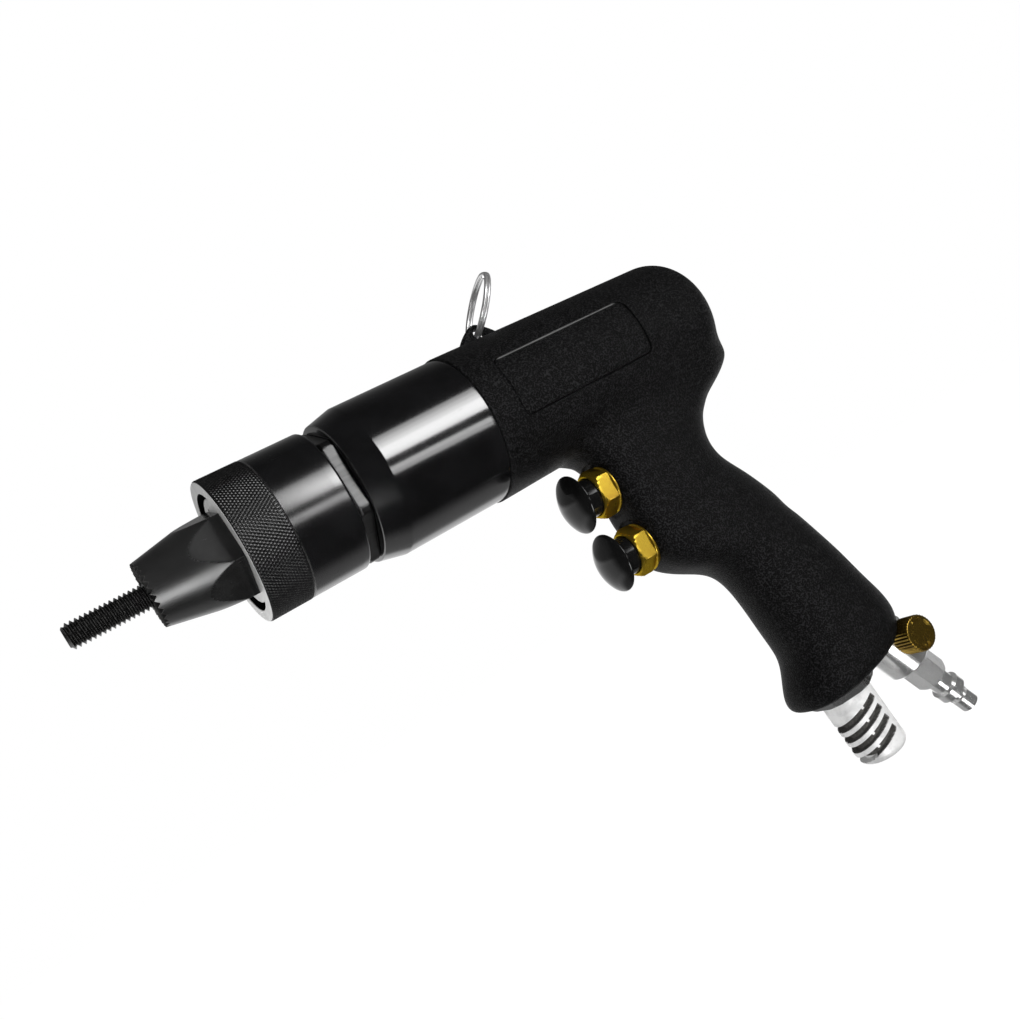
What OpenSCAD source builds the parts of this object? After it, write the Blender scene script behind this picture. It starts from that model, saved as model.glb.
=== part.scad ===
// Pneumatic riveter for rivet nuts, in millimetres, standing as it hangs in use.
// +X runs along the barrel from the nose to the back, +Z up, Y across the tool.
// The origin is on the barrel axis in the serrated front face of the nosepiece,
// where the flange of a rivet nut seats.

/* [Mandrel] */
// Crest radius of the threaded stud (5/16-18 UNC)
stud_r = 3.97; // [3.80:0.01:4.05]
// How far the stud stands out of the nosepiece
stud_out = 24.0; // [18:0.5:30]

/* [Nosepiece] */
// Radius of the serrated front face
nose_front_r = 10.3; // [9.5:0.1:11]
// Width across the flats of the hexagon behind the cone
nose_flats = 26.3; // [25:0.1:28]
// Number of serrations in the front face
nose_teeth = 30; // [20:2:40]

/* [Adjusting sleeve] */
// Outer radius of the knurled sleeve
sleeve_r = 23.7; // [23:0.1:24.5]
// Length of its knurled band
knurl_len = 14.5; // [10:0.5:18]
// Distance from the nosepiece's front face to the sleeve's front
sleeve_front = 26.0; // [26:0.1:26.4]

/* [Barrel] */
// Radius of the gear case, the smooth black cylinder
case_r = 26.0; // [25.6:0.1:26.2]
// Radius of the moulded barrel where it meets the gear case
barrel_front_r = 26.5; // [26.2:0.1:27]
// Radius of the moulded barrel at the back
barrel_rear_r = 25.2; // [25.0:0.1:26.4]
// Rounding of the barrel's back edge
barrel_round = 15.0; // [10:0.5:16]
// Half the width of the grip at its neck
grip_half = 15.4; // [14.5:0.1:17]

/* [Triggers] */
// Radius of the mushroom caps
cap_r = 10.8; // [9:0.1:11.4]
// Height of the domed face of a cap
cap_dome = 4.0; // [2.5:0.1:4.5]
// Width across the flats of the brass valve nuts
valve_nut_flats = 16.0; // [15:0.1:17]
// How far a trigger is pressed
press = 4.0; // [3:0.5:4]

/* [Air fittings] */
// Radius of the silencer
silencer_r = 9.7; // [8.5:0.05:10]
// Number of exhaust slots
silencer_slots = 4; // [3:1:4]
// Radius of the plug's nose
plug_r = 3.95; // [3.9:0.01:4.0]
// Radius of the flow regulator's knob
knob_r = 6.8; // [6.2:0.1:7]

/* [Hidden] */
// Round faces
$fn = 96;
// Running fit of turning and sliding pieces
fit = 0.05;
// Axial stations of the barrel, and the turns of the two hexagons on it
nose_turn = -9;
carrier_front = sleeve_front + 1.0;
case_nose_x = 43.4;
sleeve_rear = 60.2;
lock_front = 60.4;
lock_rear = 64.4;
cone_front = 64.7;
cone_front_r = 23.9;
lock_corner_r = 23.1;
lock_flats = 41;
lock_turn = -1;
cone_rear = 73.5;
case_rear = 112.2;
spigot_rear = 120.2;
motor_front = 112.0;
motor_rear = 160.0;
plate_rear = 170.0;
barrel_rear = 218.0;
// Radii inside the barrel
stud_core_r = stud_r - 0.35;
thread_r = 19.95;
bore_r = 22.0;
spigot_r = 24.0;
pocket_r = 12.0;
spindle_r = 6.5;
rotor_r = 15.2;
rotor_shaft_r = 3.6;
rotor_rear_r = 4.7;
bearing_r = 9.5;
// Planetary gear: teeth, module and radii
gear_mod = 0.8;
sun_teeth = 12;
planet_teeth = 15;
ring_teeth = 42;
planet_orbit = gear_mod * (sun_teeth + planet_teeth) / 2;
gear_front = 81.0;
gear_len = 12.0;
pin_r = 2.0;
// Triggers: where the valve axes leave the front of the grip, and their tilt
trigger_tilt = 3.0;
trigger_x = 147.2;
forward_z = -41.1;
reverse_z = -64.8;
skirt_r = 7.0;
skirt_end = -3.0;
shank_r = 5.5;
stem_r = 2.5;
valve_r = 7.8;
chamber_r = 6.5;
// Exhaust: where its axis meets the grip's foot, its lean, and levels down the axis
exhaust_x = 185.3;
exhaust_z = -142.0;
exhaust_lean = 3.2;
exhaust_bore_r = 9.0;
bushing_flats = 23.2;
bushing_len = 6.8;
bushing_seat = 3.0;
silencer_len = 26.6;
slot_first = 13.7;
slot_pitch = 4.45;
slot_width = 2.3;
slot_skew = 18;
web_turn = -27;
web_inner = 7.2;
// Inlet: where its axis meets the grip's foot, and its lean from upright
inlet_x = 213.9;
inlet_z = -143.1;
inlet_lean = 25.1;
// Knob: where its axis crosses the inlet body
knob_x = 215.4;
knob_z = -144.8;
knob_back = 9.8;
regulator_r = 10.2;
regulator_flat = 9.4;
plug_flats = 12.2;
// Suspension lug: eye centre and ring
eye_x = 137.3;
eye_z = 28.5;
ring_r = 12.5;
ring_wire = 0.65;
ring_lean = 38.0;
ring_twist = -1.6;
ring_slide = -14.0;

// Shared shapes

// Round bar along X from x0 to x1
module bar(x0, x1, r) {
    translate([x0, 0, 0])
        rotate([0, 90, 0])
            cylinder(r = r, h = x1 - x0);
}

// Tapered bar along X
module taper(x0, x1, r0, r1) {
    translate([x0, 0, 0])
        rotate([0, 90, 0])
            cylinder(r1 = r0, r2 = r1, h = x1 - x0);
}

// Hexagonal bar along X, flats facing up and down when turned by 30
module hex_bar(x0, x1, flats, turn = 0) {
    translate([x0, 0, 0])
        rotate([turn, 0, 0])
            rotate([0, 90, 0])
                cylinder(r = flats / sqrt(3), h = x1 - x0, $fn = 6);
}

// Tube along X
module tube(x0, x1, outer, inner) {
    difference() {
        bar(x0, x1, outer);
        bar(x0 - 1, x1 + 1, inner);
    }
}

// Outside of a gear with straight-sided teeth, a tooth on the local x axis
module gear_outline(teeth) {
    pitch = 360 / teeth;
    tip = gear_mod * (teeth / 2 + 0.72);
    root = gear_mod * (teeth / 2 - 1.1);
    polygon([
        for (i = [0 : teeth - 1], p = [[root, -0.33], [tip, -0.11], [tip, 0.11], [root, 0.33]])
            [p[0] * cos((i + p[1]) * pitch), p[0] * sin((i + p[1]) * pitch)]
    ]);
}

// Space inside the ring gear, a tooth space on the local x axis
module ring_space() {
    pitch = 360 / ring_teeth;
    tip = gear_mod * (ring_teeth / 2 - 0.72);
    root = gear_mod * (ring_teeth / 2 + 1.1);
    polygon([
        for (i = [0 : ring_teeth - 1], p = [[tip, -0.39], [root, -0.22], [root, 0.22], [tip, 0.39]])
            [p[0] * cos((i + p[1]) * pitch), p[0] * sin((i + p[1]) * pitch)]
    ]);
}

// Lays a flat outline across the barrel and runs it along X, its x axis up
module across(x0, x1) {
    translate([x0, 0, 0])
        rotate([0, 90, 0])
            linear_extrude(x1 - x0)
                rotate([0, 0, 180])
                    children();
}

// Places children on a valve axis: local -X points out of the grip
module on_valve(z) {
    translate([trigger_x, 0, z])
        rotate([0, trigger_tilt, 0])
            children();
}

// Places children on the exhaust axis: local -Z points out of the grip
module on_exhaust() {
    translate([exhaust_x, 0, exhaust_z])
        rotate([0, -exhaust_lean, 0])
            children();
}

// Places children on the inlet axis: local -Z points out of the grip
module on_inlet() {
    translate([inlet_x, 0, inlet_z])
        rotate([0, -inlet_lean, 0])
            children();
}

// Spindle train, turning about the barrel axis

// Threaded stud with a spanner collar, screwed into the spindle
module mandrel() {
    color([0.10, 0.10, 0.11]) {
        taper(-stud_out, 1 - stud_out, stud_r - 0.9, stud_r);
        bar(1 - stud_out, 0, stud_r);
        bar(-0.1, 50, stud_core_r);
        hex_bar(29, 33, 12);
    }
}

// Spindle: holds the mandrel, takes the pull on its flange, ends in a drive hexagon
module drive_spindle() {
    color([0.62, 0.63, 0.65])
        difference() {
            union() {
                bar(33, 54, 7.5);
                bar(54, 58, 11.5);
                bar(58, 74, spindle_r);
                hex_bar(74, 79, 11);
            }
            bar(32, 50, stud_core_r);
        }
}

// Thrust washer that turns with the spindle
module thrust_race_rear() {
    color([0.70, 0.71, 0.73])
        tube(52, 54, 11.5, 7.5);
}

// Ring of steel balls between the two thrust washers
module thrust_balls() {
    color([0.78, 0.79, 0.80])
        for (i = [0 : 15])
            rotate([i * 22.5, 0, 0])
                translate([50.5, 0, 10])
                    sphere(r = 1.47, $fn = 32);
}

// Disc that carries the three planet gears
module planet_carrier() {
    color([0.52, 0.53, 0.55])
        difference() {
            bar(74, 79, 15.5);
            hex_bar(73, 80, 11);
            for (turn = [0, 120, 240])
                rotate([turn, 0, 0])
                    translate([0, 0, planet_orbit])
                        bar(73, 80, pin_r);
        }
}

// Three pins, one per planet gear
module planet_pins() {
    color([0.75, 0.76, 0.78])
        for (turn = [0, 120, 240])
            rotate([turn, 0, 0])
                translate([0, 0, planet_orbit])
                    bar(74.5, 94, pin_r);
}

// One planet gear at its place around the sun
module planet_gear(turn) {
    color([0.58, 0.58, 0.60])
        rotate([turn, 0, 0])
            translate([0, 0, planet_orbit])
                difference() {
                    across(gear_front, gear_front + gear_len)
                        gear_outline(planet_teeth);
                    bar(gear_front - 1, gear_front + gear_len + 1, pin_r + fit);
                }
}

// Air motor

// Slotted rotor with the sun pinion cut on its front shaft
module rotor() {
    color([0.50, 0.51, 0.53])
        difference() {
            union() {
                across(gear_front, gear_front + 13)
                    gear_outline(sun_teeth);
                bar(gear_front + 12, motor_front + 1, rotor_shaft_r);
                bar(motor_front + 0.3, motor_rear - 0.3, rotor_r);
                bar(motor_rear - 1, plate_rear + 1, rotor_rear_r);
            }
            for (turn = [0 : 72 : 288])
                rotate([turn, 0, 0])
                    translate([motor_front, -1, 6.5])
                        cube([motor_rear - motor_front, 2, rotor_r]);
        }
}

// Five vanes, standing drawn in flush with the rotor
module rotor_vanes() {
    color([0.42, 0.28, 0.17])
        for (turn = [0 : 72 : 288])
            rotate([turn, 0, 0])
                translate([motor_front + 0.4, -0.95, 6.7])
                    cube([motor_rear - motor_front - 0.8, 1.9, rotor_r - 7.0]);
}

// Liner whose bore stands off the rotor's axis
module motor_cylinder() {
    color([0.66, 0.67, 0.69])
        difference() {
            bar(motor_front, motor_rear, bore_r);
            translate([0, 0, 1.6])
                bar(motor_front - 1, motor_rear + 1, rotor_r + 2);
        }
}

// Plate before the motor, with the seat of the front bearing
module front_end_plate() {
    color([0.60, 0.61, 0.63])
        difference() {
            bar(99, motor_front, bore_r);
            bar(98, 106, bearing_r);
            bar(105, motor_front + 1, 4.4);
        }
}

// Plate behind the motor, with the seat of the back bearing
module rear_end_plate() {
    color([0.60, 0.61, 0.63])
        difference() {
            bar(motor_rear, plate_rear, bore_r);
            bar(163, plate_rear + 1, bearing_r);
            bar(motor_rear - 1, 164, rotor_rear_r + 0.6);
        }
}

// Ball bearing of the pinion shaft
module front_rotor_bearing() {
    color([0.74, 0.75, 0.77])
        tube(99, 106, bearing_r, rotor_shaft_r + fit);
}

// Ball bearing of the rotor's back shaft
module rear_rotor_bearing() {
    color([0.74, 0.75, 0.77])
        tube(163, plate_rear, bearing_r, rotor_rear_r + fit);
}

// Front end: case, bearings, sleeve and nose

// Internally toothed ring pressed into the gear case
module ring_gear() {
    color([0.48, 0.48, 0.50])
        difference() {
            bar(80, 97, bore_r);
            across(79, 98)
                ring_space();
        }
}

// Smooth black cylinder with a coned front and a threaded nose
module gear_case() {
    color([0.05, 0.05, 0.055])
        difference() {
            union() {
                bar(case_nose_x, cone_front + 1, thread_r);
                taper(cone_front, cone_rear, cone_front_r, case_r);
                bar(cone_rear, case_rear, case_r);
                bar(case_rear, spigot_rear, spigot_r);
            }
            bar(case_nose_x - 1, 48, 8.0);
            bar(47, 70.5, pocket_r);
            bar(70, spigot_rear + 1, bore_r);
        }
}

// Thrust washer seated in the gear case
module thrust_race_front() {
    color([0.70, 0.71, 0.73])
        tube(47, 49, pocket_r, 8.2);
}

// Bearing that centres the spindle
module spindle_bearing() {
    color([0.74, 0.75, 0.77])
        tube(60, 68, pocket_r, spindle_r + fit);
}

// Hexagon nut with turned corners that locks the sleeve
module lock_nut() {
    color([0.09, 0.09, 0.10])
        difference() {
            intersection() {
                hex_bar(lock_front, lock_rear, lock_flats, lock_turn);
                bar(lock_front, lock_rear, lock_corner_r);
            }
            bar(lock_front - 1, lock_rear + 1, thread_r + fit);
        }
}

// Adjusting sleeve: knurled band in front, smooth skirt behind, open bore
module adjusting_sleeve() {
    knurl_rear = sleeve_front + knurl_len;
    color([0.11, 0.11, 0.12])
        difference() {
            union() {
                bar(sleeve_front, knurl_rear, sleeve_r);
                bar(knurl_rear - 1, sleeve_rear - 0.8, sleeve_r - 0.15);
                taper(sleeve_rear - 0.8, sleeve_rear, sleeve_r - 0.15, sleeve_r - 0.95);
            }
            bar(sleeve_front - 1, 36, 18.5);
            bar(35.2, sleeve_rear + 1, thread_r + fit);
            bar(40.1, 41.5, 21.0);
        }
}

// Bright steel ring that carries the nosepiece inside the sleeve
module nose_carrier() {
    color([0.80, 0.81, 0.82])
        difference() {
            union() {
                bar(carrier_front, 35.5, 17.6);
                bar(35.3, 40, thread_r - 0.3);
            }
            bar(carrier_front - 1, 41, 9.5);
            // Hole for the pin spanner
            rotate([48, 0, 0])
                translate([0, 0, 15.9])
                    bar(carrier_front - 1, carrier_front + 3, 1.0);
        }
}

// Snap ring behind the carrier, open at the bottom
module carrier_snap_ring() {
    color([0.35, 0.35, 0.37])
        difference() {
            tube(40.1, 41.4, 20.8, 17.2);
            translate([39, -3, -22])
                cube([4, 6, 8]);
        }
}

// Serrated nosepiece: a cone running out into a hexagon, with a threaded shank
module nosepiece() {
    cone_len = 27.0;
    cone_back = nose_front_r + cone_len * 0.207;
    color([0.13, 0.13, 0.14])
        difference() {
            union() {
                intersection() {
                    taper(0, cone_len, nose_front_r, cone_back);
                    hex_bar(0, cone_len, nose_flats, nose_turn);
                }
                bar(cone_len - 1, 38, 9.5);
            }
            bar(-1, 25, stud_r + 0.33);
            bar(-1, 2.5, stud_r + 0.68);
            bar(24, 39, 8.2);
            // Radial notches that leave the sharp teeth
            for (i = [0 : nose_teeth - 1])
                rotate([i * 360 / nose_teeth, 0, 0])
                    translate([0, 0, 6.6])
                        linear_extrude(6)
                            polygon([[-0.1, -1.0], [1.25, 0], [-0.1, 1.0]]);
        }
}

// Moulded housing

// Stations down the grip: height, front, back, half width, squareness of front and back,
// and the rise of the section towards the back
grip_stations = [
    [-12.0, 150.0, 215.0, 1.06, 2.6, 2.8, 0],
    [-17.0, 146.0, 219.0, 1.02, 2.5, 3.0, 0],
    [-21.0, 142.5, 219.7, 1.00, 2.4, 3.0, 0],
    [-25.0, 140.0, 215.0, 0.99, 2.4, 2.7, 0],
    [-28.0, 142.4, 209.2, 0.99, 2.6, 2.5, 0],
    [-30.5, 144.6, 204.2, 0.99, 2.9, 2.4, 0],
    [-33.0, 146.0, 200.8, 0.99, 3.2, 2.3, 0],
    [-36.5, 146.8, 197.2, 0.99, 3.6, 2.2, 0],
    [-42.0, 146.8, 194.0, 0.99, 3.6, 2.2, 0],
    [-47.5, 146.6, 192.9, 1.00, 3.6, 2.2, 0],
    [-53.0, 146.3, 194.0, 1.01, 3.6, 2.2, 0],
    [-58.5, 146.6, 197.0, 1.02, 3.6, 2.2, 0],
    [-64.0, 147.2, 200.2, 1.03, 3.6, 2.2, 0],
    [-71.0, 148.2, 203.6, 1.04, 3.4, 2.2, 0],
    [-76.0, 151.2, 205.4, 1.04, 3.0, 2.2, 0],
    [-80.5, 157.0, 206.4, 1.04, 2.6, 2.2, 0],
    [-85.0, 164.2, 207.9, 1.05, 2.3, 2.2, 0],
    [-90.0, 168.9, 209.5, 1.06, 2.2, 2.2, 0],
    [-97.0, 171.3, 211.8, 1.08, 2.2, 2.2, 0],
    [-106.0, 172.3, 214.6, 1.11, 2.2, 2.2, 0],
    [-116.0, 172.8, 217.2, 1.14, 2.2, 2.2, 0],
    [-124.0, 173.2, 219.4, 1.17, 2.2, 2.2, 0.01],
    [-129.5, 172.0, 220.4, 1.20, 2.2, 2.2, 0.03],
    [-134.5, 168.8, 220.5, 1.23, 2.2, 2.2, 0.06],
    [-138.8, 166.4, 219.4, 1.24, 2.3, 2.2, 0.09],
    [-141.8, 166.4, 217.2, 1.21, 2.4, 2.3, 0.11],
    [-143.8, 168.2, 214.2, 1.13, 2.4, 2.3, 0.11],
    [-144.9, 172.0, 210.4, 0.97, 2.4, 2.3, 0.11]
];
slope_x = 190;
ring_points = 44;

// Power that keeps the sign, for the rounded outline
function bend(v, p) = sign(v) * pow(abs(v), p);

// Point k of the rounded outline at station s
function outline_point(s, k) =
    let (
        a = (k + 0.5) * 360 / ring_points,
        middle = (s[1] + s[2]) / 2,
        half = (s[2] - s[1]) / 2,
        square = cos(a) < 0 ? s[4] : s[5]
    )
    let (x = middle + half * bend(cos(a), 2 / square))
    [x, grip_half * s[3] * bend(sin(a), 2 / square), s[0] + s[6] * (x - slope_x)];

// Lofted grip between the stations
module grip_body() {
    count = len(grip_stations);
    points = [for (s = grip_stations, k = [0 : ring_points - 1]) outline_point(s, k)];
    walls = [
        for (i = [0 : count - 2], k = [0 : ring_points - 1])
            let (a = i * ring_points + k, b = i * ring_points + (k + 1) % ring_points)
            each [[a, b, a + ring_points], [b, b + ring_points, a + ring_points]]
    ];
    top = [for (k = [0 : ring_points - 1]) ring_points - 1 - k];
    bottom = [for (k = [0 : ring_points - 1]) (count - 1) * ring_points + k];
    polyhedron(points, concat([top], walls, [bottom]), convexity = 6);
}

// Barrel with a rounded back edge
module barrel_body() {
    straight = barrel_rear - barrel_round;
    rotate([0, 90, 0])
        rotate_extrude() {
            polygon([
                [0, case_rear],
                [barrel_front_r, case_rear],
                [barrel_rear_r, straight],
                [0, straight + 1]
            ]);
            intersection() {
                translate([barrel_rear_r - barrel_round, straight])
                    circle(r = barrel_round);
                translate([0, straight])
                    square([barrel_rear_r, barrel_round]);
            }
            translate([0, straight])
                square([barrel_rear_r - barrel_round, barrel_round]);
        }
}

// Ear with the eye for the suspension ring
module lug() {
    translate([0, 2, 0])
        rotate([90, 0, 0])
            linear_extrude(4) {
                translate([eye_x, eye_z])
                    circle(r = 4.2);
                polygon([[126.5, 24], [128.4, 27.0], [134.5, 31.6], [eye_x, eye_z], [143, 26], [144, 24]]);
            }
}

// Shallow panel sunk into one side of the barrel
module side_panel() {
    depth = 0.5;
    intersection() {
        translate([124, -30, -9.8])
            rotate([90, 0, 0])
                mirror([0, 0, 1])
                    linear_extrude(14)
                        round_rectangle(54.5, 20.6, 2.5);
        difference() {
            taper(case_rear, barrel_rear - barrel_round, barrel_front_r + 1, barrel_rear_r + 1);
            taper(case_rear, barrel_rear - barrel_round, barrel_front_r - depth, barrel_rear_r - depth);
        }
    }
}

// Rectangle with round corners, built from plain shapes
module round_rectangle(width, height, corner) {
    translate([corner, 0])
        square([width - 2 * corner, height]);
    translate([0, corner])
        square([width, height - 2 * corner]);
    for (x = [corner, width - corner], y = [corner, height - corner])
        translate([x, y])
            circle(r = corner, $fn = 32);
}

// Bores of one valve: seat of the nut, thread and chamber
module valve_bores() {
    bar(-12, 0, 10.6);
    bar(-1, 14, valve_r);
    bar(13, 38, chamber_r);
}

// One-piece pistol housing
module housing() {
    color([0.045, 0.045, 0.05])
        difference() {
            union() {
                barrel_body();
                grip_body();
                lug();
            }
            bar(case_rear - 1, spigot_rear, spigot_r);
            bar(case_rear - 1, 172, bore_r);
            translate([eye_x, 3, eye_z])
                rotate([90, 0, 0])
                    cylinder(r = 2.1, h = 6);
            side_panel();
            mirror([0, 1, 0])
                side_panel();
            on_valve(forward_z)
                valve_bores();
            on_valve(reverse_z)
                valve_bores();
            on_exhaust() {
                translate([0, 0, -6])
                    cylinder(r = exhaust_bore_r, h = 20);
                // Seat of the bushing's hexagon
                translate([0, 0, -bushing_seat - 8])
                    rotate([0, 0, 30])
                        cylinder(r = (bushing_flats + 0.6) / sqrt(3), h = 8, $fn = 6);
            }
            // Room for the knob to turn
            translate([knob_x, 0, knob_z])
                rotate([90, 0, 0])
                    translate([0, 0, knob_back - 0.8])
                        cylinder(r = knob_r + 0.8, h = 12);
            on_inlet() {
                translate([0, 0, -30])
                    cylinder(r = 11, h = 31.4);
                translate([0, 0, -1])
                    cylinder(r = 6.5, h = 18);
            }
        }
}

// Double-coil ring through the eye, leaning back
module suspension_ring() {
    color([0.82, 0.83, 0.84])
        translate([eye_x, 0, eye_z])
            rotate([0, ring_lean, 0])
                rotate([ring_slide, 0, ring_twist])
                    translate([0, 0, ring_r])
                        rotate([0, 90, 0])
                            rotate_extrude()
                                for (side = [-0.6, 0.6])
                                    translate([ring_r, side])
                                        circle(r = ring_wire, $fn = 24);
}

// Triggers and valves

// Mushroom cap, skirt, shank and stem in one
module valve_button(z) {
    dome_r = (cap_r * cap_r + cap_dome * cap_dome) / (2 * cap_dome);
    color([0.05, 0.05, 0.055])
        on_valve(z) {
            intersection() {
                translate([-13.8 - cap_dome + dome_r, 0, 0])
                    sphere(r = dome_r);
                bar(-14 - cap_dome, -13.7, cap_r);
            }
            bar(-13.8, -13.0, cap_r);
            taper(-13.0, -11.8, cap_r, 8.2);
            bar(-12, skirt_end, skirt_r);
            bar(skirt_end - 1, 5, shank_r);
            bar(4, 32, stem_r);
        }
}

// Brass hexagon nut with a round foot and a threaded shank
module valve_nut(z) {
    color([0.78, 0.56, 0.20])
        on_valve(z)
            difference() {
                union() {
                    intersection() {
                        hex_bar(-6.8, -1.0, valve_nut_flats);
                        taper(-6.8, 1.2, 8.0, 14.0);
                    }
                    bar(-1.2, 0, 9.2);
                    bar(-0.5, 14, valve_r);
                }
                bar(-8, skirt_end + press + 0.2, skirt_r + fit);
                bar(0, 15, shank_r + fit);
            }
}

// Points round the wire at each step of a coil along local X
function coil_points(turns, steps, rise, coil_r, wire_r) = [
    for (i = [0 : steps], k = [0 : 7])
        let (
            a = i * 360 * turns / steps,
            out = coil_r + wire_r * cos(k * 45)
        )
        [i * rise / steps + wire_r * sin(k * 45), out * cos(a), out * sin(a)]
];

// Return spring, drawn at its pressed length
module valve_spring(z) {
    steps = 110;
    walls = [
        for (i = [0 : steps - 1], k = [0 : 7])
            let (a = i * 8 + k, b = i * 8 + (k + 1) % 8)
            each [[a, b, a + 8], [b, b + 8, a + 8]]
    ];
    first = [for (k = [0 : 7]) 7 - k];
    last = [for (k = [0 : 7]) steps * 8 + k];
    color([0.72, 0.73, 0.75])
        on_valve(z)
            translate([9.9, 0, 0])
                polyhedron(coil_points(5.5, steps, 11.4, 4.2, 0.5), concat([first], walls, [last]));
}

// Brass bush that guides the stem and seats the valve washer
module valve_bush(z) {
    color([0.74, 0.55, 0.22])
        on_valve(z)
            tube(22, 30, chamber_r, stem_r + fit);
}

// Rubber washer on the end of the stem
module valve_washer(z) {
    color([0.07, 0.07, 0.07])
        on_valve(z)
            tube(30.1, 32, 5.0, stem_r);
}

// Exhaust

// Black hexagon bushing screwed into the foot of the grip
module exhaust_bushing() {
    color([0.06, 0.06, 0.065])
        on_exhaust()
            difference() {
                union() {
                    intersection() {
                        translate([0, 0, -bushing_len])
                            rotate([0, 0, 30])
                                cylinder(r = bushing_flats / sqrt(3), h = bushing_len - bushing_seat, $fn = 6);
                        translate([0, 0, -bushing_len])
                            cylinder(r1 = bushing_flats / 2 + 0.6, r2 = bushing_flats, h = bushing_len);
                    }
                    translate([0, 0, -bushing_seat - 0.4])
                        cylinder(r = exhaust_bore_r, h = 17);
                }
                translate([0, 0, -bushing_len - 1])
                    cylinder(r = 6.6, h = 30);
            }
}

// Slotted silencer with a rounded end, its slots cut askew from one side
module silencer() {
    round_r = 3.6;
    bottom = -bushing_len - silencer_len;
    color([0.80, 0.81, 0.82])
        on_exhaust()
            difference() {
                union() {
                    translate([0, 0, bottom + round_r])
                        cylinder(r = silencer_r, h = silencer_len - round_r);
                    translate([0, 0, bottom + round_r])
                        rotate_extrude()
                            translate([silencer_r - round_r, 0])
                                intersection() {
                                    circle(r = round_r);
                                    translate([0, -round_r])
                                        square(round_r);
                                }
                    translate([0, 0, bottom])
                        cylinder(r = silencer_r - round_r, h = round_r + 1);
                    translate([0, 0, -bushing_len - 1])
                        cylinder(r = 6.6, h = 12);
                }
                translate([0, 0, bottom + 2.4])
                    cylinder(r = 5.5, h = silencer_len + 20);
                for (i = [0 : silencer_slots - 1])
                    translate([0, 0, -slot_first - i * slot_pitch])
                        rotate([0, 0, web_turn])
                            rotate([0, -slot_skew, 0])
                                translate([-16, -14, -slot_width / 2])
                                    cube([16 + web_inner, 28, slot_width]);
            }
}

// Felt roll inside the silencer, seen through the slots
module silencer_felt() {
    color([0.20, 0.19, 0.18])
        on_exhaust()
            translate([0, 0, 2.4 - bushing_len - silencer_len])
                cylinder(r = 5.45, h = silencer_len - 4);
}

// Inlet

// Stud between the grip and the regulator
module inlet_stud() {
    color([0.70, 0.71, 0.73])
        on_inlet()
            difference() {
                translate([0, 0, -4])
                    cylinder(r = 6.5, h = 20);
                translate([0, 0, -5])
                    cylinder(r = 3.5, h = 22);
            }
}

// Flow regulator body: a round block with a flat for the knob
module regulator_body() {
    color([0.78, 0.79, 0.80])
        difference() {
            on_inlet() {
                translate([0, 0, -12.2])
                    cylinder(r = regulator_r, h = 13.2);
                translate([0, 0, -14])
                    cylinder(r1 = 8.4, r2 = regulator_r, h = 1.8);
            }
            on_inlet() {
                translate([-12, -regulator_flat - 6, -16])
                    cube([24, 6, 18]);
                translate([0, 0, -4])
                    cylinder(r = 6.5, h = 8);
                translate([0, 0, -7])
                    cylinder(r = 3.5, h = 5);
                translate([0, 0, -15])
                    cylinder(r = 5.4, h = 9);
            }
            translate([knob_x, -7.2, knob_z])
                rotate([90, 0, 0])
                    cylinder(r = 3.5 + fit, h = 8);
        }
}

// Fluted brass knob with a stem into the regulator
module regulator_knob() {
    color([0.80, 0.60, 0.22])
        translate([knob_x, 0, knob_z])
            rotate([90, 0, 0])
                difference() {
                    union() {
                        translate([0, 0, knob_back])
                            cylinder(r = knob_r, h = 17.4 - knob_back);
                        translate([0, 0, 17.4])
                            cylinder(r1 = knob_r, r2 = knob_r - 0.6, h = 0.6);
                        translate([0, 0, 7.4])
                            cylinder(r = 3.5, h = 4);
                    }
                    for (i = [0 : 17])
                        rotate([0, 0, i * 20])
                            translate([knob_r + 0.35, 0, knob_back - 0.5])
                                cylinder(r = 0.75, h = 9, $fn = 16);
                }
}

// Quick-connect plug: hexagon, neck, ball collar and nose
module air_plug() {
    color([0.80, 0.80, 0.80])
        on_inlet()
            difference() {
                union() {
                    translate([0, 0, -15])
                        cylinder(r = 5.4, h = 9);
                    intersection() {
                        translate([0, 0, -25.4])
                            rotate([0, 0, -26])
                                cylinder(r = plug_flats / sqrt(3), h = 11.4, $fn = 6);
                        translate([0, 0, -25.4])
                            cylinder(r1 = plug_flats / 2, r2 = plug_flats / 2 + 16, h = 16);
                    }
                    translate([0, 0, -31.5])
                        cylinder(r = 4.6, h = 7);
                    translate([0, 0, -35.0])
                        cylinder(r = 5.9, h = 3.5);
                    translate([0, 0, -36.2])
                        cylinder(r1 = 4.4, r2 = 5.9, h = 1.2);
                    translate([0, 0, -38.4])
                        cylinder(r = 3.1, h = 3);
                    translate([0, 0, -44.0])
                        cylinder(r = plug_r, h = 5.6);
                }
                translate([0, 0, -45])
                    cylinder(r = 2.3, h = 40);
            }
}

mandrel();
nosepiece();
nose_carrier();
carrier_snap_ring();
adjusting_sleeve();
lock_nut();
gear_case();
thrust_race_front();
thrust_balls();
thrust_race_rear();
drive_spindle();
spindle_bearing();
planet_carrier();
planet_pins();
planet_gear(0);  // planet_gear_a
planet_gear(120);  // planet_gear_b
planet_gear(240);  // planet_gear_c
ring_gear();
front_end_plate();
front_rotor_bearing();
rotor();
rotor_vanes();
motor_cylinder();
rear_end_plate();
rear_rotor_bearing();
housing();
suspension_ring();
valve_button(forward_z);  // forward_button
valve_nut(forward_z);  // forward_valve_nut
valve_spring(forward_z);  // forward_spring
valve_bush(forward_z);  // forward_valve_bush
valve_washer(forward_z);  // forward_valve_washer
valve_button(reverse_z);  // reverse_button
valve_nut(reverse_z);  // reverse_valve_nut
valve_spring(reverse_z);  // reverse_spring
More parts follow.
